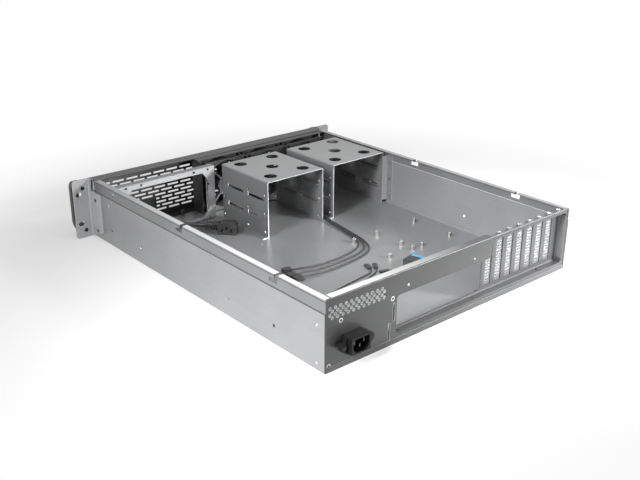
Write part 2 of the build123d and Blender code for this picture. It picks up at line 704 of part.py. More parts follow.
def control_board():
    """Circuit board behind the controls, with its two switches."""
    board = block((POWER_X - 10, USB_X[1] + 10), (BOARD_Y, BOARD_Y + BOARD_SHEET), (CONTROL_Z[0] + 2, CONTROL_Z[1] - 2))
    for x in (POWER_X, RESET_X):
        board += block((x - 3, x + 3), (switch_face(), BOARD_Y), (CONTROL_MID_Z - 3, CONTROL_MID_Z + 3))
    for x in (POWER_X - 6, USB_X[1] + 6):
        board += block((x - 2, x + 2), (-EAR_SHEET, BOARD_Y), (CONTROL_Z[0] + 2, CONTROL_Z[0] + 6))
    return board


def usb_port(x):
    """Metal shell of one front socket with its tongue."""
    middle = CONTROL_MID_Z
    front = PANEL_FRONT - 0.3
    wall = 0.5
    outer = Pos(x, middle) * Rectangle(USB_W, USB_H)
    inner = Pos(x, middle) * Rectangle(USB_W - 2 * wall, USB_H - 2 * wall)
    shell = along_y(outer, front, BOARD_Y) - along_y(inner, front - 1, BOARD_Y - 2)
    tongue = block((x - 5, x + 5), (front + 1, BOARD_Y - 1), (middle, middle + 1.6))
    return shell + tongue


def usb_ports():
    """Both front sockets, as one group."""
    return Part() + [usb_port(x) for x in USB_X]


def status_lights():
    """Two small light pipes, power and drive activity."""
    places = [(x, CONTROL_MID_Z) for x in LIGHT_X]
    return along_y(scattered(hexagon(LIGHT_D), places), PANEL_FRONT - 0.5, BOARD_Y)


def fan_x(index):
    """Middle of a fan."""
    return FAN_FIRST_X - FAN_SIZE * index


def fan_z():
    """Height of the fans' axes."""
    return FAN_BASE_Z + FAN_SIZE / 2


def fan_frame(index):
    """Square fan frame: two flanges, the barrel, motor mount, struts and bearing tube."""
    front, back = FAN_FRONT_Y, FAN_FRONT_Y + FAN_DEPTH
    corner = FAN_HOLE_PITCH / 2
    places = [(sx * corner, sz * corner) for sx in (-1, 1) for sz in (-1, 1)]
    outline = chamfer(Rectangle(FAN_SIZE - 2 * CLEAR, FAN_SIZE).vertices(), 2.5)
    frame = along_y(outline, front, back)
    waist = Rectangle(FAN_SIZE + 2, FAN_SIZE + 2) - rounded(FAN_SIZE - 0.6, FAN_SIDES)
    frame -= along_y(waist, front + FAN_FLANGE, back - FAN_FLANGE)
    frame -= along_y(rounded(FAN_BORE, FAN_SIDES), front - 1, back + 1)
    frame -= along_y(scattered(Rectangle(FAN_HOLE, FAN_HOLE), places), front - 1, back + 1)
    strut_l = (FAN_BORE - FAN_HUB_D) / 2 + 2
    mount = Sketch() + octagon(FAN_HUB_D)
    for turn in range(FAN_STRUTS):
        angle = 45 + 360 / FAN_STRUTS * turn
        mount += Rot(0, 0, angle) * Pos((FAN_HUB_D + FAN_BORE) / 4, 0) * Rectangle(strut_l, 3.2)
    frame += along_y(mount, back - FAN_MOTOR_T, back)
    tube = octagon(8.4) - Circle(FAN_SHAFT_D / 2 + FAN_SHAFT_PLAY)
    frame += along_y(tube, front + 6, back - FAN_MOTOR_T)
    return Pos(fan_x(index), 0, fan_z()) * frame


def fan_blade():
    """One pitched blade, lofted from the hub to its tip."""
    root, tip = FAN_HUB_D / 2 - 1, FAN_BORE / 2
    sections = []
    for radius, chord, pitch in ((root, 15, 38), (tip, 24, 62)):
        plane = Plane(origin=(0, 0, radius), x_dir=(1, 0, 0), z_dir=(0, 0, 1))
        sections.append(plane * Rot(0, 0, pitch) * Rectangle(1.4, chord))
    return loft(sections, ruled=True)


def fan_rotor(index):
    """Hub cup, shaft and seven blades."""
    front, back = FAN_FRONT_Y + 1.5, FAN_FRONT_Y + FAN_DEPTH - FAN_MOTOR_T - FAN_ROTOR_GAP
    middle = (front + back) / 2
    hub = along_y(rounded(FAN_HUB_D, FAN_HUB_SIDES), front, back)
    hub -= along_y(rounded(FAN_HUB_D - 3, FAN_HUB_SIDES), front + 2, back + 1)
    hub += along_y(Circle(FAN_SHAFT_D / 2), front + 1, back)
    blade = Pos(0, middle, 0) * fan_blade()
    cup = along_y(rounded(FAN_HUB_D - 1.4, FAN_HUB_SIDES), front - 1, back + 1)
    sweep_room = along_y(rounded(FAN_BORE - 2 * FAN_TIP_GAP, FAN_SIDES), front - 1, back + 1)
    blade = (blade - cup) & sweep_room
    blades = [Rot(0, 360 / FAN_BLADES * i, 0) * blade for i in range(FAN_BLADES)]
    return Pos(fan_x(index), 0, fan_z()) * (hub + blades)


def fan_bracket():
    """Black folded sheet in front of the fans, with a hood over their tops."""
    sheet = FAN_BRACKET_SHEET
    back = FAN_FRONT_Y
    top = BODY_H - PANEL_SHEET
    path = [
        (back + FAN_BRACKET_TOP_D, top),
        (back - sheet, top),
        (back - sheet, SHEET),
        (back + FAN_BRACKET_TOP_D, SHEET),
    ]
    section = folded(path, sheet)
    wide = FAN_BRACKET_X
    bracket = along_x(section, wide[1], wide[0])
    bracket -= block((wide[1] - 1, wide[0] + 1), (0, FLOOR_START), (0, SHEET + 2 * BEND + sheet))
    bracket += block((wide[0], wide[0] - sheet), (back, back + FAN_DEPTH), (SHEET, top - sheet))
    cuts = [Pos(fan_x(i), fan_z()) * rounded(FAN_BORE, FAN_SIDES) for i in range(FAN_COUNT)]
    return bracket - along_y(Sketch() + cuts, back - 2 * sheet, back + 0.5)


def psu_bracket():
    """Light steel frame that the power supply screws to."""
    rear, front = PSU_REAR_Y, PSU_REAR_Y - SHEET
    path = [(front - PSU_FLANGE, PSU_TOP_Z), (rear, PSU_TOP_Z), (rear, SHEET), (front - PSU_FLANGE, SHEET)]
    flipped = [(-y, z) for y, z in path]
    section = mirror(folded(flipped), Plane.YZ)
    bracket = along_x(section, *PSU_X)
    x0, x1 = PSU_WINDOW_X
    z0, z1 = PSU_WINDOW_Z
    cx, cz = PSU_CHAMFER
    points = [
        (x0 + cx, z0), (x1 - cx, z0), (x1, z0 + cz), (x1, z1 - cz),
        (x1 - cx, z1), (x0 + cx, z1), (x0, z1 - cz), (x0, z0 + cz),
    ]
    window = make_face(Polyline(*points, close=True).edges())
    places = [(PSU_MID_X + s * PSU_HOLE_X[0], z) for s in (-1, 1) for z in PSU_HOLE_Z]
    places += [(PSU_MID_X + s * PSU_HOLE_X[1], PSU_HOLE_Z[-1]) for s in (-1, 1)]
    cuts = [along_y(window, front - 1, rear + 1)]
    cuts.append(along_y(scattered(hexagon(PSU_HOLE), places), front - 1, rear + 1))
    return bracket - cuts


def cage_section(middle):
    """Section across a drive cage: its top and two sides that stand on the floor."""
    half = CAGE_W / 2
    points = [
        (middle + half, SHEET),
        (middle + half, CAGE_TOP_Z),
        (middle - half, CAGE_TOP_Z),
        (middle - half, SHEET),
    ]
    return folded(points, CAGE_SHEET)


def cage_shelves(middle):
    """Narrow ledges bridged inwards behind the side slots, under the upper two drives."""
    ledges = []
    for step in (1, 2):
        top = DRIVE_BASE_Z + step * DRIVE_PITCH
        for side in (-1, 1):
            wall = middle + side * (CAGE_W / 2 - CAGE_SHEET)
            inner = wall - side * SHELF_DEEP
            for start, end in CAGE_SLOT_Y:
                length = (start - SHELF_END, end + SHELF_END)
                ledges.append(block((wall, inner), length, (top - CAGE_SHEET, top)))
    return ledges


def drive_cage(middle, feet):
    """Three-drive cage with slots, ledges, screw holes, finger holes and feet on both sides."""
    front, back = CAGE_Y
    half = CAGE_W / 2
    cage = along_y(cage_section(middle), front, back)
    for side, reach in zip((1, -1), feet):
        wall = middle + side * half
        for start in CAGE_FOOT_Y:
            foot = (wall - side * CAGE_SHEET / 2, wall + side * reach)
            cage += block(foot, (start, start + CAGE_FOOT), (SHEET, SHEET + CAGE_SHEET))
    sides = []
    for step in (1, 2):
        top = DRIVE_BASE_Z + step * DRIVE_PITCH + CAGE_SLOT_UP
        for start, end in CAGE_SLOT_Y:
            place = Pos((start + end) / 2, top - CAGE_SLOT_H / 2)
            sides.append(place * Rectangle(end - start, CAGE_SLOT_H))
    for step in (0, 1, 2):
        z = DRIVE_BASE_Z + step * DRIVE_PITCH + DRIVE_SCREW_UP
        sides += [Pos(y, z) * hexagon(DRIVE_SCREW_D) for y in DRIVE_SCREW_Y]
    cage -= along_x(Sketch() + sides, middle - half - 1, middle + half + 1)
    dx, dy = CAGE_HOLE_PITCH[0] / 2, CAGE_HOLE_PITCH[1] / 2
    centre = (front + back) / 2
    places = [(middle, centre)]
    places += [(middle + sx * dx, centre - CAGE_HOLE_SHIFT + sy * dy) for sx in (-1, 1) for sy in (-1, 1)]
    holes = scattered(rounded(CAGE_HOLE_D, CAGE_HOLE_SIDES), places)
    cage -= along_z(holes, CAGE_TOP_Z - 3, CAGE_TOP_Z + 1)
    return cage + cage_shelves(middle)


def cage_tie():
    """Angle that ties the outer cage to the side wall."""
    edge = CAGE_W / 2 - CAGE_X[1]
    back = CAGE_Y[1]
    low, high = CAGE_TIE_H
    outside = [
        (HALF_W, low),
        (HALF_W, BAND_Z),
        (HALF_W - BAND_INSET, BAND_Z + BAND_INSET),
        (HALF_W - BAND_INSET, high),
    ]
    face = left_of(outside, SHEET)
    leg = along_y(folded(face, CAGE_SHEET), back - CAGE_SHEET, back + CAGE_TIE_LEG)
    web = block((edge, BAND_IN), (back - CAGE_SHEET, back), (low, high))
    web += block((edge, WALL_IN), (back - CAGE_SHEET, back), (low, BAND_Z - 2))
    arm = block((edge, edge + CAGE_SHEET), (back - CAGE_TIE_LEG, back), (low, high))
    return mirrored(leg + web + arm)


def cage_rivets():
    """Low rivet heads that hold the cage tie to the wall."""
    face = -WALL_IN + CAGE_SHEET
    places = [(CAGE_Y[1] + CAGE_TIE_LEG / 2, z) for z in CAGE_TIE_Z]
    return along_x(scattered(hexagon(RIVET_D), places), face, face + RIVET_T)


def board_standoffs():
    """Six-sided posts for the main board, with more for smaller boards."""
    places = [(x, y) for x in POST_X for y in POST_Y]
    places += [(POST_EXTRA_X[0], y) for y in (POST_Y[1], POST_EXTRA_Y, POST_Y[2])]
    places.append((POST_EXTRA_X[1], POST_Y[1]))
    return along_z(scattered(hexagon(POST_AF), places), SHEET, SHEET + POST_H)


def runs(points):
    """Lengths and directions of the straight runs of a route."""
    vectors = [Vector(*b) - Vector(*a) for a, b in zip(points, points[1:])]
    return [v.length for v in vectors], [v.normalized() for v in vectors]


def arc_radii(points, diameter):
    """Radius at each inner point: nearly half of the shorter run over the tangent of half the turn,
    and in a gentle turn no more than a few diameters."""
    lengths, ways = runs(points)
    radii = []
    for index in range(1, len(points) - 1):
        turn = math.acos(max(-1, min(1, ways[index - 1].dot(ways[index]))))
        shorter = min(lengths[index - 1], lengths[index])
        widest = 0.45 * shorter / math.tan(turn / 2)
        radii.append(min(widest, GENTLE_RADIUS * diameter) if turn < GENTLE_TURN else widest)
    return radii


def cord(points, diameter, sides=6):
    """A flexible lead: straight runs joined by arcs, with a many-sided section of the real width."""
    path = FilletPolyline(*points, radius=arc_radii(points, diameter))
    start = Plane(origin=points[0], z_dir=Vector(*points[1]) - Vector(*points[0]))
    section = start * RegularPolygon(corner_reach(diameter, sides), sides)
    return sweep(section, path=Wire(path.edges()))


def along(heading, offset):
    """Place for a plug: its tail at a point, its lead leaving along the heading."""
    return Pos(*offset) * Rot(0, 0, heading)


def ahead(tail, heading, distance, z):
    """First or last bend of a lead, straight ahead of a plug's tail."""
    turn = math.radians(heading)
    return (tail[0] + distance * math.cos(turn), tail[1] + distance * math.sin(turn), z)


def corner_reach(diameter, sides=6):
    """How far the corners of a lead's section stand from its middle."""
    return diameter / 2 * math.sqrt(math.tau / sides / math.sin(math.tau / sides))


def mains_plug():
    """Right-angled mains socket on the loose lead: body, chamfered top and ribbed strain relief."""
    place = along(PLUG_TURN, (PLUG_TAIL[0], PLUG_TAIL[1], 0))
    back, front = -PLUG_AXIS, PLUG_D - PLUG_AXIS
    points = [
        (-PLUG_RELIEF - PLUG_W, SHEET), (-PLUG_RELIEF, SHEET),
        (-PLUG_RELIEF, SHEET + PLUG_H - PLUG_CHAMFER), (-PLUG_RELIEF - PLUG_CHAMFER, SHEET + PLUG_H),
        (-PLUG_RELIEF - PLUG_W + PLUG_CHAMFER, SHEET + PLUG_H), (-PLUG_RELIEF - PLUG_W, SHEET + PLUG_H - PLUG_CHAMFER),
    ]
    body = along_y(make_face(Polyline(*points, close=True).edges()), back, front)
    centre = SHEET + PLUG_H / 2
    middle = -PLUG_RELIEF - PLUG_W / 2
    pins = ((-INLET_PIN_L / 2, -INLET_PIN_UP), (INLET_PIN_L / 2, -INLET_PIN_UP), (0, INLET_PIN_UP))
    holes = scattered(Rectangle(2.4, 4.4), [(middle + x, centre + z) for x, z in pins])
    body -= along_y(holes, front - 12, front + 1)
    relief = [extrude(Plane.YZ.offset(-PLUG_RELIEF) * Pos(0, centre) * RegularPolygon(5.6, 8), amount=PLUG_RELIEF * 0.55)]
    relief.append(extrude(Plane.YZ.offset(-PLUG_RELIEF * 0.45) * Pos(0, centre) * RegularPolygon(4.6, 8), amount=PLUG_RELIEF * 0.45))
    return place * (body + relief)


def small_plug(size, tail, heading):
    """A small moulded plug whose lead enters the middle of its back."""
    length, width, height = size
    x, y = tail
    body = block((-length, 0), (-width / 2, width / 2), (SHEET, SHEET + height))
    body -= block((-length - 1, -length + 4), (-width / 2 + 1, width / 2 - 1), (SHEET + 1, SHEET + height - 1))
    return along(heading, (x, y, 0)) * body


def usb_plug():
    """Flat internal plug of the front sockets' lead: housing and tapered strain relief."""
    length, width, height = USB_PLUG
    tail = USB_TAIL
    start = -USB_RELIEF
    body = block((start - length, start), (-width / 2, width / 2), (SHEET, SHEET + height))
    taper = Polyline((start, -width / 2 + 2), (0, -5), (0, 5), (start, width / 2 - 2), close=True)
    body += along_z(make_face(taper.edges()), SHEET + 1, SHEET + height - 1)
    body -= block((start - length - 1, start - length + 6), (-width / 2 + 1, width / 2 - 1), (SHEET + 1, SHEET + height + 1))
    return along(USB_TURN, (tail[0], tail[1], 0)) * body


def usb_insert():
    """Blue contact carrier in the mouth of the plug."""
    length, width, height = USB_PLUG
    face = -USB_RELIEF - length
    body = block((face, face + 6), (-width / 2 + 1, width / 2 - 1), (SHEET + height - 2.6, SHEET + height - 0.4))
    return along(USB_TURN, (USB_TAIL[0], USB_TAIL[1], 0)) * body


def on_floor(diameter):
    """Height of a lead's middle when it lies on the floor."""
    return SHEET + corner_reach(diameter) + CLEAR


LEAD_Z = on_floor(FAN_LEAD_D)
THIN_Z = on_floor(SMALL_LEAD_D)
WIRE_Z = on_floor(HARNESS_D)
USB_Z = on_floor(USB_LEAD_D)
MAINS_Z = on_floor(MAINS_D)
OVER_FOOT_Z = LEAD_Z + CAGE_SHEET + 0.7
FAN_BACK_Y = FAN_FRONT_Y + FAN_DEPTH

# Route of the mains lead from the loose plug along the side wall to the back of the inlet.
PLUG_MID_Z = SHEET + PLUG_H / 2
MAINS_ROUTE = [
    (PLUG_TAIL[0], PLUG_TAIL[1], PLUG_MID_Z), ahead(PLUG_TAIL, PLUG_TURN, 18, PLUG_MID_Z),
    (113, 66.8, 11.5), (141, 65.5, 9), (168, 76, MAINS_Z), (190, 102, MAINS_Z), (196, 148, MAINS_Z),
    (197.2, 232, MAINS_Z), (196.6, 312, MAINS_Z), (194.2, 386, MAINS_Z), (185, 444, 14),
    (INLET_X, 481, INLET_Z), (INLET_X, REAR_Y - INLET_DEEP, INLET_Z),
]

# Routes of the three fan leads through the gap between the cages to their plugs.
FAN_PLUG_AT = ((76.5, 290), (81, 306), (80.5, 318))
FAN_PLUG_TURN = (161.6, 173.9, 173.8)
FAN_ROUTES = [
    [
        (-36, FAN_BACK_Y, 7), (-38, 45, 5.6), (-54, 51.5, LEAD_Z), (-79, 55, LEAD_Z), (-84.9, 82, LEAD_Z),
        (-85.8, 122, LEAD_Z), (-81.6, 174, OVER_FOOT_Z), (-72, 233, LEAD_Z), (-61.5, 277, LEAD_Z),
        (-37, 295, LEAD_Z), (4, 301, LEAD_Z), (40, 299.5, LEAD_Z),
    ],
    [
        (-116, FAN_BACK_Y, 7), (-114.5, 44, 5.6), (-104, 49.5, LEAD_Z), (-90.4, 56, LEAD_Z), (-88, 82, LEAD_Z),
        (-88.8, 123, LEAD_Z), (-84.6, 177, LEAD_Z), (-75.4, 234, LEAD_Z), (-66.6, 280, LEAD_Z),
        (-46, 303.5, LEAD_Z), (-4, 310.6, LEAD_Z), (42, 310.4, LEAD_Z),
    ],
    [
        (-196, FAN_BACK_Y, 7), (-193, 45, 5.6), (-174, 52, LEAD_Z), (-136, 52.5, LEAD_Z), (-108, 53, LEAD_Z),
        (-93.5, 60.5, LEAD_Z), (-91.6, 88, LEAD_Z), (-91.9, 126, LEAD_Z), (-87.6, 178, LEAD_Z), (-78.6, 235, LEAD_Z), (-70.6, 283, LEAD_Z),
        (-51, 310.4, LEAD_Z), (-8, 320, LEAD_Z), (38, 322.4, LEAD_Z),
    ],
]
FAN_PLUG_Z = SHEET + FAN_PLUG[2] / 2
for route, plug_at, plug_turn in zip(FAN_ROUTES, FAN_PLUG_AT, FAN_PLUG_TURN):
    route.append(ahead(plug_at, plug_turn, 17, FAN_PLUG_Z))
    route.append((plug_at[0], plug_at[1], FAN_PLUG_Z))

# The front leads run in one sleeve along the wall and split into three thin tails.
SPLIT_AT = (137.0, 449.0)
SPLIT_TURN = 20.2
SPLIT_Z = SHEET + SPLITTER[2] / 2
BOARD_BACK = BOARD_Y + BOARD_SHEET
HARNESS_ROUTE = [
    (150, BOARD_BACK, 16), (150, 24, 16), (152, 44, 13.6), (161, 62, 10.5), (183, 78, WIRE_Z), (200.5, 102, WIRE_Z),
    (203.2, 146, WIRE_Z), (203.9, 204, WIRE_Z), (203.6, 262, WIRE_Z), (202.8, 320, WIRE_Z), (201.2, 378, WIRE_Z),
    (194.5, 432, WIRE_Z), (177, 455, WIRE_Z), ahead(SPLIT_AT, SPLIT_TURN, 19, SPLIT_Z),
    (SPLIT_AT[0], SPLIT_AT[1], SPLIT_Z),
]
TAIL_PLUG_AT = ((-9.5, 353), (-16.8, 357), (-25, 374.5))
TAIL_PLUG_TURN = (70.1, 54.8, 160)
TAIL_PLUG_Z = SHEET + SMALL_PLUG[2] / 2
POWER_ROUTE = [
    (109, 428, THIN_Z), (111, 400, THIN_Z), (92, 378, THIN_Z), (64, 372.4, THIN_Z), (26, 367, THIN_Z),
    (7, 364.8, THIN_Z),
]
RESET_ROUTE = [(100, 430, THIN_Z), (77, 403, THIN_Z), (46, 386, THIN_Z), (16, 374.4, THIN_Z), (-1, 369.6, THIN_Z)]
LIGHT_ROUTE = [
    (96, 440, THIN_Z), (62, 420, THIN_Z), (22, 406, THIN_Z), (-6, 402, THIN_Z), (-24, 397.5, THIN_Z),
    (-33.5, 389, THIN_Z),
]
TAIL_ROUTES = {"power": POWER_ROUTE, "reset": RESET_ROUTE, "light": LIGHT_ROUTE}
TAIL_SPREAD = (-2.2, 0.0, 2.2)
TAIL_BEND = (9.0, 9.0, 8.5)
for index, route in enumerate(TAIL_ROUTES.values()):
    turn = math.radians(SPLIT_TURN)
    end_x = SPLIT_AT[0] - SPLITTER[0] * math.cos(turn) - TAIL_SPREAD[index] * math.sin(turn)
    end_y = SPLIT_AT[1] - SPLITTER[0] * math.sin(turn) + TAIL_SPREAD[index] * math.cos(turn)
    route.insert(0, ahead((end_x, end_y), SPLIT_TURN + 180, 11, SPLIT_Z))
    route.insert(0, (end_x, end_y, SPLIT_Z))
    plug_at, plug_turn = TAIL_PLUG_AT[index], TAIL_PLUG_TURN[index]
    route.append(ahead(plug_at, plug_turn, TAIL_BEND[index], TAIL_PLUG_Z))
    route.append((plug_at[0], plug_at[1], TAIL_PLUG_Z))

# Lead of the front sockets, with its wide plug on the floor.
USB_TAIL = (-43.0, 387.8)
USB_TURN = 13.3
USB_MID_Z = SHEET + USB_PLUG[2] / 2
USB_ROUTE = [
    (180.5, BOARD_BACK, 18), (180.5, 24, 18), (174, 43, 17), (174, 62, 14), (188, 75, 6), (205, 96, USB_Z),
    (208.4, 138, USB_Z), (209.2, 208, USB_Z), (208.8, 280, USB_Z), (207.4, 350, USB_Z), (204.6, 410, USB_Z),
    (197, 455, USB_Z), (164, 480, USB_Z), (106, 468, USB_Z), (50, 447, USB_Z), (8, 424, 6.4),
    ahead(USB_TAIL, USB_TURN, 24, USB_MID_Z), (USB_TAIL[0], USB_TAIL[1], USB_MID_Z),
]


def splitter():
    """Short moulding where the sleeve ends and the three thin leads leave it."""
    length, width, height = SPLITTER
    body = block((-length, 0), (-width / 2, width / 2), (SHEET, SHEET + height))
    return along(SPLIT_TURN, (SPLIT_AT[0], SPLIT_AT[1], 0)) * body


def save(name, shape):
    """Write one named piece."""
    export_step(shape, os.path.join("parts", name + ".step"))


def save_cord(name, points, diameter, sides=6):
    """Write a lead and print its length, its radii and how well its volume fits."""
    shape = cord(points, diameter, sides)
    lengths, ways = runs(points)
    radii = arc_radii(points, diameter)
    shrink = 0
    for index, radius in enumerate(radii):
        turn = math.acos(max(-1, min(1, ways[index].dot(ways[index + 1]))))
        shrink += radius * (2 * math.tan(turn / 2) - turn)
    length = sum(lengths) - shrink
    fit = shape.volume / (math.pi * diameter**2 / 4 * length)
    print(name, "length", round(length), "smallest radius", round(min(radii), 1), "of diameter", diameter, "fit", round(fit, 4))
    save(name, shape)


def main():
    os.makedirs("parts", exist_ok=True)
    save("base_tray", base_tray())
    save("rear_panel", rear_panel())
    for index in range(SLOT_COUNT):
        save(f"slot_cover_{index + 1}", slot_cover(index))
    save("slot_screws", slot_screws())
    save("inlet_housing", inlet_housing())
    save("inlet_pins", inlet_pins())
    save("inlet_screws", inlet_screws())
    save("rack_ear_right", rack_ear())
    save("rack_ear_left", mirrored(rack_ear()))
    save("handle_right", handle())
    save("handle_left", mirrored(handle()))
    save("handle_screws", handle_screws())
    save("ear_screws", ear_screws())
    save("front_panel", front_panel())
    save("power_button", button(POWER_X, POWER_D))
    save("reset_button", button(RESET_X, RESET_D))
    save("control_board", control_board())
    save("usb_ports", usb_ports())
    save("status_lights", status_lights())
    save("fan_bracket", fan_bracket())
    for index in range(FAN_COUNT):
        save(f"fan_frame_{index + 1}", fan_frame(index))
        save(f"fan_rotor_{index + 1}", fan_rotor(index))
    save("psu_bracket", psu_bracket())
    for name, middle, feet in zip(("drive_cage_inner", "drive_cage_outer"), CAGE_X, CAGE_FEET):
        save(name, drive_cage(middle, feet))
    save("cage_tie", cage_tie())
    save("cage_rivets", cage_rivets())
    save("board_standoffs", board_standoffs())
    save("mains_plug", mains_plug())
    save_cord("mains_lead", MAINS_ROUTE, MAINS_D, 8)
    for index, route in enumerate(FAN_ROUTES):
        save_cord(f"fan_lead_{index + 1}", route, FAN_LEAD_D)
        save(f"fan_plug_{index + 1}", small_plug(FAN_PLUG, FAN_PLUG_AT[index], FAN_PLUG_TURN[index]))
    save("harness_splitter", splitter())
    save_cord("front_harness", HARNESS_ROUTE, HARNESS_D)
    for index, (name, route) in enumerate(TAIL_ROUTES.items()):
        save_cord(f"{name}_lead", route, SMALL_LEAD_D)
        save(f"{name}_plug", small_plug(SMALL_PLUG, TAIL_PLUG_AT[index], TAIL_PLUG_TURN[index]))
    save_cord("usb_lead", USB_ROUTE, USB_LEAD_D)
    save("usb_plug", usb_plug())
    save("usb_insert", usb_insert())


if __name__ == "__main__":
    main()
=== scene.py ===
"""Dresses an open 2U rackmount server case: zinc coated sheet steel, a black slotted front,
fans, drive cages, perforated slot covers and the loose leads that lie on its floor."""

import bpy
import numpy as np
from mathutils import Matrix, Quaternion, Vector


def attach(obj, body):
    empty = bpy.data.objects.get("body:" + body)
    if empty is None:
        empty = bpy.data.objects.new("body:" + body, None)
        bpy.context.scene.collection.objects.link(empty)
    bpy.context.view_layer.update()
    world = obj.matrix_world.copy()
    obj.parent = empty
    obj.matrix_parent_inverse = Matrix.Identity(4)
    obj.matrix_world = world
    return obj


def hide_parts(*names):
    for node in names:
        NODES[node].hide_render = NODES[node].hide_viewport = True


bl_info = {
    "name": "Open rackmount case",
    "version": (1, 0, 0),
    "blender": (4, 5, 0),
    "location": "View3D > Sidebar > Rack case",
    "description": "Materials, leads, screws, light and camera for an open rackmount case",
    "category": "Object",
}

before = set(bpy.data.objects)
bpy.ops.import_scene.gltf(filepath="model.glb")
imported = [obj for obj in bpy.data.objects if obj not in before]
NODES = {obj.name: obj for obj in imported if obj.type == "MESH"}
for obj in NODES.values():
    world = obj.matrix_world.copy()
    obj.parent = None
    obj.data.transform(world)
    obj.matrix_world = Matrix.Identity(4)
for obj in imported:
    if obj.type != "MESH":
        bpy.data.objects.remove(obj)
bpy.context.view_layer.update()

# The camera that took the picture, in the case's own frame: place and lens axis, turn about that
# axis in degrees, and focal length in millimetres on a sensor 36 mm wide.
EYE = (0.76138, 1.14458, 0.50274)
GAZE = (-0.602469, -0.699597, -0.384181)
ROLL = 0.247
LENS = 50.394
SENSOR = 36

# Lamps: name, place and target in metres, side in metres, watts, and spread of the beam in degrees.
LAMPS = (
    ("side_softbox", (1.9, 0.62, 0.7), (0.0, 0.55, 0.02), 0.5, 2.3, 42),
    ("inner_softbox", (1.2, 0.6, 1.0), (-0.15, 0.4, 0.03), 0.4, 1.55, 34),
    ("rear_softbox", (-0.7, 1.3, 0.45), (-0.24, 0.52, 0.05), 0.35, 2.2, 32),
)
SKY_LEVEL = 0.5

# Floor, in metres: half its side, and where it starts and ends its change to plain white, from the
# case's middle outwards. Close to the case it is already a share of that white.
FLOOR_HALF = 4
FLOOR_CELLS = 8
WHITE_FROM, WHITE_TO = 0.34, 0.72
WHITE_NEAR = 0.3
CASE_MIDDLE = (0, 0.25, 0)

# Long side walls, in metres: where they start across the case, the height of their long fold, and
# heights above that fold of its painted highlight line, its painted shade line, the band that is
# painted darker, the painted shade under the rim and the rim's flat, which takes a painted highlight.
WALL_START = 0.2
FOLD_Z = 0.072
FOLD_LINE = (-0.0001, 0.0011)
FOLD_SHADE = (-0.0006, 0.0008)
BAND = (0.0008, 0.0136)
UNDER_RIM = (0.0136, 0.0149)
RIM = (0.0149, 0.02)

# The painted highlight on the rim is brightest at this corner of the case and fades by this much for each
# metre from it.
BRIGHT_CORNER = (0.215, 0.518)
RIM_FADE = (4.2, 2.2)

# Colours of the painted highlights on the drive cages' rear faces, on the walls' fold line and on the
# rim, and how dark the painted shade makes the walls' band and shaded lines beside the sheet.
CAGE_HIGHLIGHT = (0.6, 0.6, 0.61)
FOLD_HIGHLIGHT = (0.7, 0.7, 0.71)
RIM_HIGHLIGHT = (0.92, 0.92, 0.93)
BAND_SHADE_LEVEL = 0.72
SHADE_LEVEL = 0.3

# Outer faces of the rear panel and of the slot covers, along the case. All sizes and places from
# here to the leads are in millimetres.
PANEL_Y = 516.8
COVER_Y = 505.0

# Vent over the mains inlet: its first hole, pitch of columns and rows, how far every other row
# steps aside, how many columns and rows, and the inner and outer radius of a hole's edge.
VENT_X, VENT_Z = 206.5, 75.6
VENT_PITCH_X, VENT_PITCH_Z = 7.65, 3.9
VENT_STEP = 3.4
VENT_COLUMNS, VENT_ROWS = 11, 4
VENT_EDGE = (1.45, 2.3)

# Slot covers: middle of the first, the pitch of slots, how far each column of holes stands from the
# middle, the first hole's height, pitch and rows of the longer column, and the radii of an edge.
COVERS = 7
COVER_X = -66.3
SLOT_PITCH = 20.32
HOLE_SIDE = 2.05
HOLE_Z = 24.2
HOLE_PITCH = 8.1
HOLE_ROWS = 7
HOLE_EDGE = (1.55, 2.72)

# Upright slots of the rear panel beside the recess: middles across and up, width and height.
BAR_PLACES = ((110.6, 40.5), (117.4, 17.0))
BAR_WIDE, BAR_TALL = 2.6, 22.0
BAR_ROUND = 0.3

# Rivets on the side wall and on the rear panel, and the one in the floor.
WALL_RIVETS = ((214, 68.1, 81.6), (215, 53.5, 60.6), (215, 505.2, 55), (215, 505.4, 9.4))
PANEL_RIVETS = ((88.2, 67.8), (-26, 67.5))
FLOOR_RIVET = (48.7, 188.8, 1.2)
RIVET_RADIUS, RIVET_HEIGHT = 1.5, 0.5

# Screws of the rear panel, across and up, and the inner and outer radius of the collars round them.
PANEL_SCREWS = ((190.8, 57.2), (113, 58), (207.8, 7.1))
COLLAR = (1.5, 3.1)
SCREW_RADIUS, SCREW_HEIGHT = 1.6, 0.3

# Standoffs: width across the flats, heights of the floor, top and bore's bottom, the bevels outside
# and inside, and the bore's radius. Their places are the main board's holes.
POST_FLATS = 5.0
POST_FLOOR, POST_TOP, BORE_BOTTOM = 1.2, 7.7, 4.2
BORE_RADIUS = 1.45
BOARD_COLUMNS = (100.5, -57.0, -181.5)
BOARD_ROWS = (497.2, 342.3, 269.9)
SPARE_POSTS = ((-102.7, 342.3), (-102.7, 319.4), (-102.7, 269.9), (-123.0, 342.3))

# Slot screws: place along the case and height of their seats, and the profile of a head as pairs of
# radius and height: flange, rounded side and a dished top.
SLOT_SCREW_Y, SLOT_SCREW_Z = 511.5, 84.2
SLOT_SCREW = (
    (3.9, 0), (4.3, 0.15), (4.3, 0.7), (3.95, 0.9), (3.9, 2.9), (3.4, 3.4), (2.2, 3.4), (1.9, 2.6),
)

# Handles: middle across the case, how far the root and tip of the middle line stand along the case,
# its lower and upper height, radius of its bends, and half the width and depth of the section.
HANDLE_X = 226.7
HANDLE_ROOT, HANDLE_TIP = -3.2, -29.6
HANDLE_LOW, HANDLE_HIGH = 11.4, 75.6
HANDLE_BEND = 7.0
HANDLE_HALF_WIDE, HANDLE_HALF_DEEP = 6, 5.5
HANDLE_ROUND = 0.45

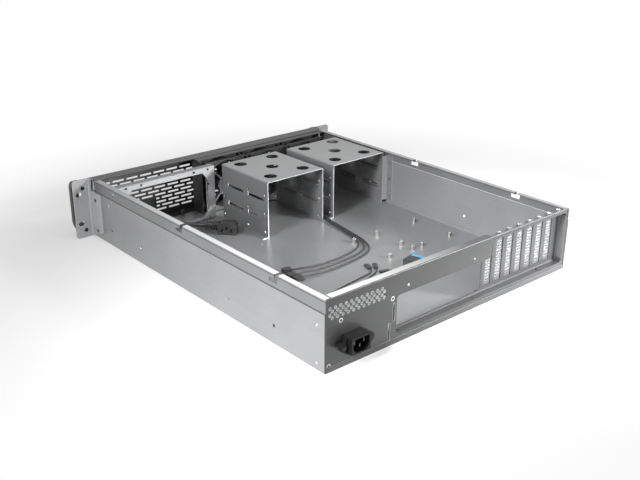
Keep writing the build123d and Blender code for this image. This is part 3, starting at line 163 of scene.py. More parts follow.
# Strain relief of the mains plug: where it starts and ends along the plug's own axis, its radius at
# the start, how much it narrows, the ribs' height and number, its flattening, and its turn in degrees.
RELIEF_START, RELIEF_END = -20.6, 1.0
RELIEF_RADIUS, RELIEF_TAPER = 6.9, 1.7
RIB_HEIGHT, RIB_COUNT = 0.55, 5.5
RELIEF_FLAT = 0.9
RELIEF_ROUND = 0.55
RELIEF_TURN = -48

# Loose leads: points of each route, in metres, from where the lead leaves the case.
MAINS = [
    (0.175, 0.4993, 0.0294), (0.175, 0.481, 0.0294), (0.185, 0.444, 0.014), (0.1942, 0.386, 0.0048),
    (0.1966, 0.312, 0.0048), (0.1972, 0.232, 0.0048), (0.196, 0.148, 0.0048), (0.19, 0.102, 0.0048),
    (0.168, 0.076, 0.0048), (0.141, 0.0655, 0.009), (0.113, 0.0668, 0.0115), (0.0915, 0.0801, 0.0097),
    (0.0795, 0.0935, 0.0097),
]
FAN_LEADS = (
    [
        (-0.036, 0.036, 0.007), (-0.038, 0.045, 0.0056), (-0.054, 0.0515, 0.0026), (-0.079, 0.055, 0.0026),
        (-0.0849, 0.082, 0.0026), (-0.0858, 0.122, 0.0026), (-0.0816, 0.174, 0.0043), (-0.072, 0.233, 0.0026),
        (-0.0615, 0.277, 0.0026), (-0.037, 0.295, 0.0026), (0.004, 0.301, 0.0026), (0.04, 0.2995, 0.0026),
        (0.0604, 0.2954, 0.004), (0.0765, 0.29, 0.004),
    ],
    [
        (-0.116, 0.036, 0.007), (-0.1145, 0.044, 0.0056), (-0.104, 0.0495, 0.0026), (-0.0904, 0.056, 0.0026),
        (-0.088, 0.082, 0.0026), (-0.0888, 0.123, 0.0026), (-0.0846, 0.177, 0.0026), (-0.0754, 0.234, 0.0026),
        (-0.0666, 0.28, 0.0026), (-0.046, 0.3035, 0.0026), (-0.004, 0.3106, 0.0026), (0.042, 0.3104, 0.0026),
        (0.0641, 0.3078, 0.004), (0.081, 0.306, 0.004),
    ],
    [
        (-0.196, 0.036, 0.007), (-0.193, 0.045, 0.0056), (-0.174, 0.052, 0.0026), (-0.136, 0.0525, 0.0026),
        (-0.108, 0.053, 0.0026), (-0.0935, 0.0605, 0.0026), (-0.0916, 0.088, 0.0026), (-0.0919, 0.126, 0.0026),
        (-0.0876, 0.178, 0.0026), (-0.0786, 0.235, 0.0026), (-0.0706, 0.283, 0.0026), (-0.051, 0.3104, 0.0026),
        (-0.008, 0.32, 0.0026), (0.038, 0.3224, 0.0026), (0.0636, 0.3198, 0.004), (0.0805, 0.318, 0.004),
    ],
)
HARNESS = [
    (0.15, 0.0096, 0.016), (0.15, 0.024, 0.016), (0.152, 0.044, 0.0136), (0.161, 0.062, 0.0105),
    (0.183, 0.078, 0.0033), (0.2005, 0.102, 0.0033), (0.2032, 0.146, 0.0033), (0.2039, 0.204, 0.0033),
    (0.2036, 0.262, 0.0033), (0.2028, 0.32, 0.0033), (0.2012, 0.378, 0.0033), (0.1945, 0.432, 0.0033),
    (0.177, 0.455, 0.0033), (0.1548, 0.4556, 0.0034), (0.137, 0.449, 0.0034),
]
TAILS = {
    "power": [
        (0.1246, 0.4421, 0.0034), (0.1143, 0.4383, 0.0034), (0.109, 0.428, 0.0022), (0.111, 0.4, 0.0022),
        (0.092, 0.378, 0.0022), (0.064, 0.3724, 0.0022), (0.026, 0.367, 0.0022), (0.007, 0.3648, 0.0022),
        (-0.0064, 0.3615, 0.0025), (-0.0095, 0.353, 0.0025),
    ],
    "reset": [
        (0.1239, 0.4442, 0.0034), (0.1135, 0.4404, 0.0034), (0.1, 0.43, 0.0022), (0.077, 0.403, 0.0022),
        (0.046, 0.386, 0.0022), (0.016, 0.3744, 0.0022), (-0.001, 0.3696, 0.0022), (-0.0116, 0.3644, 0.0025),
        (-0.0168, 0.357, 0.0025),
    ],
    "light": [
        (0.1231, 0.4462, 0.0034), (0.1128, 0.4424, 0.0034), (0.096, 0.44, 0.0022), (0.062, 0.42, 0.0022),
        (0.022, 0.406, 0.0022), (-0.006, 0.402, 0.0022), (-0.024, 0.3975, 0.0022), (-0.0335, 0.389, 0.0022),
        (-0.033, 0.3774, 0.0025), (-0.025, 0.3745, 0.0025),
    ],
}
USB = [
    (0.1805, 0.0096, 0.018), (0.1805, 0.024, 0.018), (0.174, 0.043, 0.017), (0.174, 0.062, 0.014),
    (0.188, 0.075, 0.006), (0.205, 0.096, 0.004), (0.2084, 0.138, 0.004), (0.2092, 0.208, 0.004),
    (0.2088, 0.28, 0.004), (0.2074, 0.35, 0.004), (0.2046, 0.41, 0.004), (0.197, 0.455, 0.004),
    (0.164, 0.48, 0.004), (0.106, 0.468, 0.004), (0.05, 0.447, 0.004), (0.008, 0.424, 0.0064),
    (-0.0196, 0.3933, 0.0057), (-0.043, 0.3878, 0.0057),
]


class CaseFinish(bpy.types.PropertyGroup):
    """Colours of the finishes that a user would change."""

    steel: bpy.props.FloatVectorProperty(
        name="Steel", description="Colour of the zinc coated sheet",
        subtype="COLOR", size=3, default=(0.27, 0.272, 0.277),
    )
    black: bpy.props.FloatVectorProperty(
        name="Black coat", description="Colour of the front panel and handles",
        subtype="COLOR", size=3, default=(0.022, 0.022, 0.024),
    )
    rubber: bpy.props.FloatVectorProperty(
        name="Sheath", description="Colour of the leads and plugs",
        subtype="COLOR", size=3, default=(0.028, 0.028, 0.029),
    )
    accent: bpy.props.FloatVectorProperty(
        name="Insert", description="Colour of the wide plug's insert",
        subtype="COLOR", size=3, default=(0.02, 0.33, 0.75),
    )


class CaseSizes(bpy.types.PropertyGroup):
    """Sizes of the added pieces."""

    mains: bpy.props.FloatProperty(
        name="Mains lead", description="Outer width of the mains lead", default=0.0064, unit="LENGTH"
    )
    fan_lead: bpy.props.FloatProperty(
        name="Fan leads", description="Outer width of a fan lead", default=0.0024, unit="LENGTH"
    )
    sleeve: bpy.props.FloatProperty(
        name="Front sleeve", description="Outer width of the sleeve on the front leads",
        default=0.0036, unit="LENGTH",
    )
    thin: bpy.props.FloatProperty(
        name="Thin leads", description="Outer width of a front panel lead", default=0.0016, unit="LENGTH"
    )
    usb: bpy.props.FloatProperty(
        name="Socket lead", description="Outer width of the front sockets' lead", default=0.005, unit="LENGTH"
    )


def mm(value):
    """Millimetres to metres."""
    return value / 1000


def add_mesh(name, points, faces, slot, material, smooth=True):
    """A mesh object at the origin that rides on the case. Its faces come as arrays of point numbers,
    one array for each number of corners."""
    mesh = bpy.data.meshes.new(name)
    mesh.from_pydata(points.tolist(), [], [face for group in faces for face in group.tolist()])
    mesh.update()
    if smooth:
        mesh.polygons.foreach_set("use_smooth", np.ones(len(mesh.polygons), bool))
    piece = bpy.data.objects.new(name, mesh)
    bpy.context.scene.collection.objects.link(piece)
    mesh.materials.append(material)
    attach(piece, "case")
    return piece


def ring_faces(rings, sides):
    """Quads between neighbouring rings of points, closed round each ring."""
    ring = np.arange(rings - 1)[:, None] * sides
    side = np.arange(sides)[None, :]
    after = (side + 1) % sides
    quads = np.stack([ring + side, ring + after, ring + sides + after, ring + sides + side], -1)
    return quads.reshape(-1, 4)


def capped(rings, sides):
    """Faces of a form with two ends: quads between the rings and one face over each end."""
    first = np.arange(sides)
    return [ring_faces(rings, sides), np.stack([first[::-1], (rings - 1) * sides + first])]


def looped(rings, sides):
    """Faces of a form whose last ring joins its first, such as a torus."""
    first = np.arange(sides)
    last = first + (rings - 1) * sides
    closing = np.stack([last, np.roll(last, -1), np.roll(first, -1), first], -1)
    return [np.concatenate([ring_faces(rings, sides), closing])]


def turned(profile, sides):
    """Points of a turned piece: each profile pair (radius, height) goes round the Z axis,
    x = radius cos angle, y = radius sin angle, z = height."""
    radius, height = np.asarray(profile, float).T
    angle = np.linspace(0, 2 * np.pi, sides, endpoint=False)
    x = radius[:, None] * np.cos(angle)
    y = radius[:, None] * np.sin(angle)
    z = np.broadcast_to(height[:, None], x.shape)
    return np.stack([x, y, z], -1).reshape(-1, 3)


def placed(points, place):
    """Points moved by a 4 by 4 place matrix."""
    matrix = np.array(place, float)
    return points @ matrix[:3, :3].T + matrix[:3, 3]


def repeated(faces, count, points):
    """Faces for a form of so many points that stands there several times."""
    shift = np.arange(count)[:, None, None] * points
    return [(group[None] + shift).reshape(-1, group.shape[1]) for group in faces]


def lathe(profile, sides, places, closed=False):
    """Turned pieces, each at one of the places, as one mesh. A closed profile is a ring, which joins
    its last point to its first; an open one gets a face over each end."""
    points = turned(mm(np.array(profile)), sides)
    faces = (looped if closed else capped)(len(profile), sides)
    everywhere = np.concatenate([placed(points, place) for place in places])
    return everywhere, repeated(faces, len(places), len(points))


def facing(point, axis):
    """Place matrix at a point in millimetres, with the turned piece's height along an axis."""
    turn = Vector(axis).to_track_quat("Z", "Y").to_matrix().to_4x4()
    return Matrix.Translation([mm(value) for value in point]) @ turn


def soft_square(sides, power, start=0.0):
    """Outline of a superellipse, two wide and two high: across is the signed power of cos t and rise
    the signed power of sin t, while t goes round once in even steps."""
    t = np.linspace(0, 2 * np.pi, sides, endpoint=False) + start
    across = np.sign(np.cos(t)) * np.abs(np.cos(t)) ** power
    rise = np.sign(np.sin(t)) * np.abs(np.sin(t)) ** power
    return across, rise


def new_group(name, inputs, outputs):
    """An empty shader node group with named sockets."""
    group = bpy.data.node_groups.new(name, "ShaderNodeTree")
    for label, kind, default in inputs:
        socket = group.interface.new_socket(label, in_out="INPUT", socket_type=kind)
        socket.default_value = default
    for label, kind in outputs:
        group.interface.new_socket(label, in_out="OUTPUT", socket_type=kind)
    entry = group.nodes.new("NodeGroupInput")
    leave = group.nodes.new("NodeGroupOutput")
    return group, entry, leave


def math_node(tree, operation, first, second):
    """A maths node with two inputs, each a socket or a number."""
    node = tree.nodes.new("ShaderNodeMath")
    node.operation = operation
    for socket, value in zip(node.inputs, (first, second)):
        if isinstance(value, (int, float)):
            socket.default_value = value
        else:
            tree.links.new(value, socket)
    return node.outputs[0]


def ranged(tree, value, low, high):
    """Carries a 0 to 1 value to a range from low to high."""
    node = tree.nodes.new("ShaderNodeMapRange")
    tree.links.new(value, node.inputs["Value"])
    node.inputs["To Min"].default_value = low
    node.inputs["To Max"].default_value = high
    return node.outputs[0]


def swung(tree, value, amount):
    """A 0 to 1 value made to swing about zero by an amount, a socket."""
    return math_node(tree, "MULTIPLY", math_node(tree, "SUBTRACT", value, 0.5), amount)


def noise(tree, place, scale, detail=3.0, rough=0.55):
    """A noise value at a place."""
    node = tree.nodes.new("ShaderNodeTexNoise")
    node.inputs["Scale"].default_value = scale
    node.inputs["Detail"].default_value = detail
    node.inputs["Roughness"].default_value = rough
    tree.links.new(place, node.inputs["Vector"])
    return node.outputs["Fac"]


def stretched_place(tree, scale=(1, 1, 1)):
    """Object coordinates, drawn out by a different amount along each axis."""
    coordinates = tree.nodes.new("ShaderNodeTexCoord")
    mapping = tree.nodes.new("ShaderNodeMapping")
    mapping.inputs["Scale"].default_value = scale
    tree.links.new(coordinates.outputs["Object"], mapping.inputs["Vector"])
    return mapping.outputs[0]


def sheet_grain():
    """Zinc coat: faint rolled streaks along the case, a fine mottle and broad clouds, as a tint, a
    change of roughness and a height."""
    found = bpy.data.node_groups.get("sheet_grain")
    if found:
        return found
    group, entry, leave = new_group(
        "sheet_grain",
        [
            ("Mottle", "NodeSocketFloat", 0.16), ("Streaks", "NodeSocketFloat", 0.1),
            ("Cloud", "NodeSocketFloat", 0.3), ("Rough spread", "NodeSocketFloat", 0.1),
        ],
        [("Tint", "NodeSocketFloat"), ("Rough", "NodeSocketFloat"), ("Height", "NodeSocketFloat")],
    )
    streak = noise(group, stretched_place(group, (420, 9, 420)), scale=1.0, detail=2.0)
    mottle = noise(group, stretched_place(group), scale=260, detail=4.0, rough=0.7)
    cloud = noise(group, stretched_place(group), scale=14, detail=2.0, rough=0.5)
    streaks = swung(group, streak, entry.outputs["Streaks"])
    spots = swung(group, mottle, entry.outputs["Mottle"])
    broad = swung(group, cloud, entry.outputs["Cloud"])
    fine = math_node(group, "ADD", streaks, spots)
    tint = math_node(group, "ADD", fine, math_node(group, "ADD", broad, 1.0))
    rough = swung(group, cloud, entry.outputs["Rough spread"])
    rough = math_node(group, "ADD", rough, math_node(group, "MULTIPLY", spots, 0.6))
    group.links.new(tint, leave.inputs["Tint"])
    group.links.new(rough, leave.inputs["Rough"])
    group.links.new(mottle, leave.inputs["Height"])
    return group


def faces_toward():
    """Mask of the flat faces that look straight along one direction."""
    found = bpy.data.node_groups.get("faces_toward")
    if found:
        return found
    group, entry, leave = new_group(
        "faces_toward", [("Toward", "NodeSocketVector", (0, 1, 0))], [("Mask", "NodeSocketFloat")]
    )
    coordinates = group.nodes.new("ShaderNodeTexCoord")
    along = group.nodes.new("ShaderNodeVectorMath")
    along.operation = "DOT_PRODUCT"
    group.links.new(coordinates.outputs["Normal"], along.inputs[0])
    group.links.new(entry.outputs["Toward"], along.inputs[1])
    group.links.new(math_node(group, "GREATER_THAN", along.outputs["Value"], 0.995), leave.inputs["Mask"])
    return group


def between(tree, value, low, high):
    """1 where a value lies between two numbers, else 0."""
    above = math_node(tree, "GREATER_THAN", value, low)
    return math_node(tree, "MULTIPLY", above, math_node(tree, "LESS_THAN", value, high))


def wall_folds():
    """Masks of the long side walls by height, for painted light and shade: a highlight line at the fold
    inside, shade lines outside, the band above the fold, which is painted darker, and the flat rim,
    whose painted highlight is brighter towards one rear corner."""
    found = bpy.data.node_groups.get("wall_folds")
    if found:
        return found
    marks = ("Fold", "Shade", "Band", "Rim")
    group, entry, leave = new_group(
        "wall_folds", [("Fold height", "NodeSocketFloat", FOLD_Z)],
        [(mark, "NodeSocketFloat") for mark in marks],
    )
    coordinates = group.nodes.new("ShaderNodeTexCoord")
    place = group.nodes.new("ShaderNodeSeparateXYZ")
    group.links.new(coordinates.outputs["Object"], place.inputs[0])
    normal = group.nodes.new("ShaderNodeSeparateXYZ")
    group.links.new(coordinates.outputs["Normal"], normal.inputs[0])
    across, along = place.outputs["X"], place.outputs["Y"]
    height = math_node(group, "SUBTRACT", place.outputs["Z"], entry.outputs["Fold height"])
    wall = math_node(group, "GREATER_THAN", math_node(group, "ABSOLUTE", across, 0.0), WALL_START)
    upward = math_node(group, "GREATER_THAN", normal.outputs["Z"], 0.9)
    far_side = math_node(group, "LESS_THAN", across, 0.0)
    near_side = math_node(group, "GREATER_THAN", across, 0.0)
    under_rim = math_node(group, "MULTIPLY", between(group, height, *UNDER_RIM), near_side)
    shade = math_node(group, "MAXIMUM", between(group, height, *FOLD_SHADE), under_rim)
    masks = {
        "Fold": math_node(group, "MULTIPLY", between(group, height, *FOLD_LINE), far_side),
        "Shade": math_node(group, "MULTIPLY", shade, near_side),
        "Band": between(group, height, *BAND),
    }
    for mark, mask in masks.items():
        group.links.new(math_node(group, "MULTIPLY", wall, mask), leave.inputs[mark])
    fades = [
        math_node(group, "MULTIPLY", math_node(group, "SUBTRACT", value, corner), fade)
        for value, corner, fade in zip((across, along), BRIGHT_CORNER, RIM_FADE)
    ]
    bright = math_node(group, "MAXIMUM", math_node(group, "ADD", math_node(group, "ADD", *fades), 1.0), 0.0)
    top = math_node(group, "MULTIPLY", between(group, height, *RIM), upward)
    rim = math_node(group, "MULTIPLY", top, math_node(group, "MINIMUM", bright, 1.0))
    group.links.new(rim, leave.inputs["Rim"])
    return group


def coat_grain():
    """Fine orange-peel texture of a powder coat or moulded plastic, as a tint, a change of roughness
    and a height."""
    found = bpy.data.node_groups.get("coat_grain")
    if found:
        return found
    group, entry, leave = new_group(
        "coat_grain",
        [("Grain", "NodeSocketFloat", 900.0), ("Rough spread", "NodeSocketFloat", 0.08)],
        [("Tint", "NodeSocketFloat"), ("Rough", "NodeSocketFloat"), ("Height", "NodeSocketFloat")],
    )
    place = stretched_place(group)
    fine = group.nodes.new("ShaderNodeTexNoise")
    fine.inputs["Detail"].default_value = 2.0
    group.links.new(place, fine.inputs["Vector"])
    group.links.new(entry.outputs["Grain"], fine.inputs["Scale"])
    broad = noise(group, place, scale=30, detail=3.0)
    group.links.new(ranged(group, broad, 0.85, 1.15), leave.inputs["Tint"])
    group.links.new(swung(group, broad, entry.outputs["Rough spread"]), leave.inputs["Rough"])
    group.links.new(fine.outputs["Fac"], leave.inputs["Height"])
    return group


def base_material(name):
    """A material with only a Principled shader, and its tree and shader."""
    material = bpy.data.materials.new(name)
    material.use_nodes = True
    tree = material.node_tree
    shader = next(n for n in tree.nodes if n.type == "BSDF_PRINCIPLED")
    return material, tree, shader


def tinted(tree, colour, level, amount):
    """A colour at a level, times a value that changes over the surface."""
    mix = tree.nodes.new("ShaderNodeMix")
    mix.data_type = "RGBA"
    mix.blend_type = "MULTIPLY"
    mix.inputs["Factor"].default_value = 1.0
    mix.inputs["A"].default_value = (*[part * level for part in colour], 1)
    tree.links.new(amount, mix.inputs["B"])
    return mix.outputs["Result"]


def bump(tree, shader, height, distance, strength):
    """A bump from a height, in metres, on the shader's normal."""
    node = tree.nodes.new("ShaderNodeBump")
    node.inputs["Distance"].default_value = distance
    node.inputs["Strength"].default_value = strength
    tree.links.new(height, node.inputs["Height"])
    tree.links.new(node.outputs[0], shader.inputs["Normal"])


def mixed(tree, mask, first, second):
    """The first colour, and where the mask is 1 the second, which is a socket or a written colour."""
    mix = tree.nodes.new("ShaderNodeMix")
    mix.data_type = "RGBA"
    tree.links.new(first, mix.inputs["A"])
    if isinstance(second, tuple):
        mix.inputs["B"].default_value = (*second, 1)
    else:
        tree.links.new(second, mix.inputs["B"])
    tree.links.new(mask, mix.inputs["Factor"])
    return mix.outputs["Result"]


def grouped(tree, group, **values):
    """The outputs of a shader group's node, with its input values."""
    node = tree.nodes.new("ShaderNodeGroup")
    node.node_tree = group
    for label, value in values.items():
        node.inputs[label].default_value = value
    return node.outputs


def steel(name, level=1.0, rough=0.34, metal=0.5, edges=False, lip=0, side=0, walls=False, rim=False):
    """Zinc coated sheet steel: grey metal with a soft gloss, a fine mottle and faint streaks.
    Edges paints a highlight on the faces that look to the rear, lip and side give those that look to the
    rear and to +X a level of their own, painted light above 1 and painted shade below it, walls paints a
    darker band, shade lines and a highlight line along the long folds of the side walls, and rim paints a
    highlight on their flat top."""
    material, tree, shader = base_material(name)
    grain = grouped(tree, sheet_grain())
    colour = tuple(part * level for part in bpy.context.scene.case_finish.steel)
    base = tinted(tree, colour, 1, grain["Tint"])
    if edges:
        base = mixed(tree, grouped(tree, faces_toward())["Mask"], base, CAGE_HIGHLIGHT)
    for factor, toward in ((lip, (0, 1, 0)), (side, (1, 0, 0))):
        if factor:
            mask = grouped(tree, faces_toward(), Toward=toward)["Mask"]
            base = mixed(tree, mask, base, tinted(tree, colour, factor, grain["Tint"]))
    if walls or rim:
        marks = grouped(tree, wall_folds())
    if walls:
        base = mixed(tree, marks["Band"], base, tinted(tree, colour, BAND_SHADE_LEVEL, grain["Tint"]))
        base = mixed(tree, marks["Shade"], base, tuple(part * SHADE_LEVEL for part in colour))
        base = mixed(tree, marks["Fold"], base, FOLD_HIGHLIGHT)
    if rim:
        base = mixed(tree, marks["Rim"], base, RIM_HIGHLIGHT)
    tree.links.new(base, shader.inputs["Base Color"])
    tree.links.new(math_node(tree, "ADD", grain["Rough"], rough), shader.inputs["Roughness"])
    shader.inputs["Metallic"].default_value = metal
    bump(tree, shader, grain["Height"], distance=0.00003, strength=0.25)
    return material


def coated(name, colour, rough, grain, metal=0.0, shine=0.5):
    """Powder coat or moulded plastic, with a grain of so many bumps across a metre."""
    material, tree, shader = base_material(name)
    coat = grouped(tree, coat_grain(), Grain=grain)
    tree.links.new(tinted(tree, colour, 1, coat["Tint"]), shader.inputs["Base Color"])
    tree.links.new(math_node(tree, "ADD", coat["Rough"], rough), shader.inputs["Roughness"])
    shader.inputs["Metallic"].default_value = metal
    shader.inputs["Specular IOR Level"].default_value = shine
    bump(tree, shader, coat["Height"], distance=0.00004, strength=0.3)
    return material


def dress(material, *names):
    """Gives CAD nodes a material."""
    for name in names:
        slots = NODES[name].data.materials
        slots.clear()
        slots.append(material)


def numbered(name, count):
    """Names of the copies of a node: name_1, name_2 and so on."""
    return [f"{name}_{index}" for index in range(1, count + 1)]


class RACKCASE_OT_sheet_metal(bpy.types.Operator):
    """Give the folded sheets their zinc coat"""

    bl_idname = "rackcase.sheet_metal"
    bl_label = "Sheet metal"

    def execute(self, context):
        # Painted shade darkens the tray's faces that look to the rear; the walls take painted shade lines, a
        # band painted darker and painted highlights on the fold line and the rim.
        dress(steel("tray_zinc", lip=0.36, walls=True, rim=True), "base_tray")
        # The rear panel is a darker copy of the same zinc, a painted shade, with painted light on its faces
        # that look to +X.
        dress(steel("rear_zinc", level=0.32, side=2.6, rim=True), "rear_panel")
        dress(steel("cover_zinc", level=0.62), *numbered("slot_cover", COVERS))
        # Painted highlight on the cages' faces that look to the rear.
        cage = steel("cage_zinc", level=0.78, rough=0.36, edges=True)
        dress(cage, "drive_cage_inner", "drive_cage_outer", "cage_tie")
        # Painted light on the bracket's faces that look to the rear.
        dress(steel("supply_zinc", level=0.62, rough=0.52, lip=2.5), "psu_bracket")
        # The two ears are lit and shaded copies of one zinc: painted light on the right ear, less on the left.
        dress(steel("ear_zinc", level=1.7, rough=0.40), "rack_ear_right")
        dress(steel("far_ear_zinc", level=0.95, rough=0.40), "rack_ear_left")
        dress(steel("screw_zinc", level=1.3, rough=0.3, metal=1.0), "slot_screws", "cage_rivets")
        dress(steel("socket_shell", level=2.4, rough=0.22, metal=1.0), "usb_ports")
        dress(steel("pin_nickel", level=0.3, rough=0.3, metal=1.0), "inlet_pins")
        dark = coated("dark_zinc", (0.03, 0.03, 0.03), rough=0.32, grain=700, metal=0.5, shine=0.3)
        dress(dark, "inlet_screws")
        nickel = coated("standoff_nickel", (0.24, 0.236, 0.226), rough=0.42, grain=600, metal=0.8)
        dress(nickel, "board_standoffs")
        return {"FINISHED"}


class RACKCASE_OT_black_parts(bpy.types.Operator):
    """Give the front, handles, fans and plugs their finishes"""

    bl_idname = "rackcase.black_parts"
    bl_label = "Black parts"

    def execute(self, context):
        finish = context.scene.case_finish
        black, rubber, accent = tuple(finish.black), tuple(finish.rubber), tuple(finish.accent)
        dress(coated("front_coat", black, rough=0.42, grain=1400), "front_panel", "fan_bracket")
        dress(coated("handle_coat", black, rough=0.34, grain=1400), "handle_left", "handle_right")
        screws = coated("black_screw", (0.02, 0.02, 0.02), rough=0.3, grain=700, metal=0.4)
        dress(screws, "ear_screws", "handle_screws")
        fan = coated("fan_plastic", (0.02, 0.02, 0.021), rough=0.38, grain=500)
        dress(fan, *numbered("fan_frame", 3), *numbered("fan_rotor", 3))
        inlet = coated("inlet_plastic", (0.006, 0.006, 0.006), rough=0.36, grain=700, shine=0.28)
        dress(inlet, "inlet_housing")
        button = coated("button_plastic", (0.05, 0.05, 0.05), rough=0.35, grain=700)
        dress(button, "power_button", "reset_button")
        plug = coated("plug_plastic", rubber, rough=0.4, grain=700)
        dress(plug, *numbered("fan_plug", 3), "power_plug", "reset_plug", "light_plug", "usb_plug")
        dress(plug, "harness_splitter")
        dress(coated("mains_rubber", rubber, rough=0.44, grain=600), "mains_plug")
        dress(coated("insert_blue", accent, rough=0.35, grain=700), "usb_insert")
        dress(coated("board_mask", (0.004, 0.012, 0.008), rough=0.35, grain=900), "control_board")
        dress(coated("light_pipe", (0.65, 0.68, 0.70), rough=0.2, grain=700), "status_lights")
        return {"FINISHED"}


class RACKCASE_OT_plug_relief(bpy.types.Operator):
    """Add the ribbed strain relief of the loose mains plug"""

    bl_idname = "rackcase.plug_relief"
    bl_label = "Strain relief"

    def execute(self, context):
        points, faces = relief_form(steps=49, sides=40)
        place = Matrix.Translation(MAINS[-1]) @ Matrix.Rotation(np.radians(RELIEF_TURN), 4, "Z")
        rubber = bpy.data.materials["mains_rubber"]
        add_mesh("ribbed_relief", placed(points, place), faces, "plug_rubber", rubber)
        return {"FINISHED"}


def relief_form(steps, sides):
    """A soft square carried along the plug's axis. Its radius is a straight taper plus a rib height
    times the sine of so many turns, steepened and cut off flat, and its ends are drawn in."""
    along = np.linspace(RELIEF_START, RELIEF_END, steps)
    share = (along - along[0]) / (along[-1] - along[0])
    rib = np.clip(np.sin(share * RIB_COUNT * 2 * np.pi) * 2.2, -1, 1)
    radius = RELIEF_RADIUS - RELIEF_TAPER * share + RIB_HEIGHT * rib
    radius[[0, -1]] *= 0.6
    across, rise = soft_square(sides, RELIEF_ROUND)
    x = np.broadcast_to(along[:, None], (steps, sides))
    y = radius[:, None] * across
    z = radius[:, None] * rise * RELIEF_FLAT
    return mm(np.stack([x, y, z], -1).reshape(-1, 3)), capped(steps, sides)


def lead(name, points, width, material, replaced):
    """A lead: a smooth spline drawn by its route's points, with a round section, which hides the CAD lead it
    replaces.
    """
    curve = bpy.data.curves.new(name, "CURVE")
    curve.dimensions = "3D"
    curve.bevel_depth = width / 2
    curve.bevel_resolution = 4
    curve.use_fill_caps = True
    curve.resolution_u = 12
    spline = curve.splines.new("NURBS")
    spline.points.add(len(points) - 1)
    spline.points.foreach_set("co", np.column_stack([points, np.ones(len(points))]).ravel())
    spline.order_u = 3
    spline.use_endpoint_u = True
    piece = bpy.data.objects.new(name, curve)
    bpy.context.scene.collection.objects.link(piece)
    curve.materials.append(material)
    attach(piece, "case")
    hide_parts(replaced)


class RACKCASE_OT_leads(bpy.types.Operator):
    """Lay the loose leads on the floor of the case"""

    bl_idname = "rackcase.leads"
    bl_label = "Leads"

    def execute(self, context):
        sizes = context.scene.case_sizes
        sheath = coated("lead_sheath", tuple(context.scene.case_finish.rubber), rough=0.42, grain=500)
        lead(
            "mains_sheath", MAINS, sizes.mains, sheath,
            "mains_lead",
        )
        for index, route in enumerate(FAN_LEADS, 1):
            lead(
                f"fan_sheath_{index}", route, sizes.fan_lead, sheath,
                f"fan_lead_{index}",
            )
        lead(
            "front_sleeve", HARNESS, sizes.sleeve, sheath,
            "front_harness",
        )
        for name, route in TAILS.items():
            lead(
                f"{name}_sheath", route, sizes.thin, sheath,
                f"{name}_lead",
            )
        lead(
            "usb_sheath", USB, sizes.usb, sheath,
            "usb_lead",
        )
        return {"FINISHED"}


def ring_profile(inner, outer, proud, deep):
    """Profile of a drawn edge round a hole: a low rounded lip outside and a short wall inside."""
    middle = (inner + outer) / 2
    return [(outer, -0.05), (middle, proud), (inner, proud * 0.4), (inner, -deep), (outer, -deep)]


def dome_profile(radius, height):
    """Profile of a low dome: radius times the cosine and height times the sine of an angle that goes
    from 0 to nearly a quarter turn, above a short foot that sits in the sheet."""
    angle = np.linspace(0, np.pi / 2.15, 4)
    dome = np.stack([radius * np.cos(angle), height * np.sin(angle)], -1)
    return np.concatenate([[(radius, -0.3)], dome])


def edge_holes(name, holes, profile, material):
    """A ring of ten sides round each hole that looks to the rear."""
    rings = lathe(profile, 10, [facing(hole, (0, 1, 0)) for hole in holes], closed=True)
    add_mesh(name, *rings, "rear_steel", material)


class RACKCASE_OT_drawn_edges(bpy.types.Operator):
    """Add the drawn edges of the vent, slot cover and upright openings"""

    bl_idname = "rackcase.drawn_edges"
    bl_label = "Drawn edges"

    def execute(self, context):
        # The drawn edges take a zinc much lighter than the sheet round them: a painted highlight on their
        # lips.
        bright = steel("edge_zinc", level=1.9, rough=0.3, metal=0.9)
        vents = [
            (VENT_X - VENT_STEP * (row % 2) - VENT_PITCH_X * column, PANEL_Y, VENT_Z - VENT_PITCH_Z * row)
            for row in range(VENT_ROWS) for column in range(VENT_COLUMNS)
        ]
        edge_holes("vent_edges", vents, ring_profile(*VENT_EDGE, proud=0.3, deep=1.3), bright)
        holes = []
        for middle in [COVER_X - SLOT_PITCH * index for index in range(COVERS)]:
            long_side, short_side = middle + HOLE_SIDE, middle - HOLE_SIDE
            holes += [(long_side, COVER_Y, HOLE_Z + row * HOLE_PITCH) for row in range(HOLE_ROWS)]
            holes += [
                (short_side, COVER_Y, HOLE_Z + (row + 0.5) * HOLE_PITCH) for row in range(HOLE_ROWS - 1)
            ]
        # Painted highlight on the cover holes' edges, as on the vent's.
        soft = steel("cover_edge_zinc", level=1.45, rough=0.34, metal=0.8)
        edge_holes("cover_edges", holes, ring_profile(*HOLE_EDGE, proud=0.3, deep=1.1), soft)
        frames = [slot_frame(*place, sides=40) for place in BAR_PLACES]
        faces = repeated(looped(rings=4, sides=40), len(frames), len(frames[0]))
        add_mesh("bar_edges", np.concatenate(frames), faces, "rear_steel", bright)
        return {"FINISHED"}


def slot_frame(middle, height, sides):
    """Raised edge round an upright slot: the slot's soft square outline, grown by a margin and raised
    in four steps."""
    across, along = soft_square(sides, BAR_ROUND, start=0.01)
    rings = []
    for margin, proud in ((0.5, -0.05), (0.35, 0.2), (0.1, 0.2), (-0.1, -1.2)):
        x = middle - across * (BAR_WIDE / 2 + margin)
        z = height + along * (BAR_TALL / 2 + margin)
        rings.append(np.stack([x, np.full_like(x, PANEL_Y + proud), z], -1))
    return mm(np.concatenate(rings))


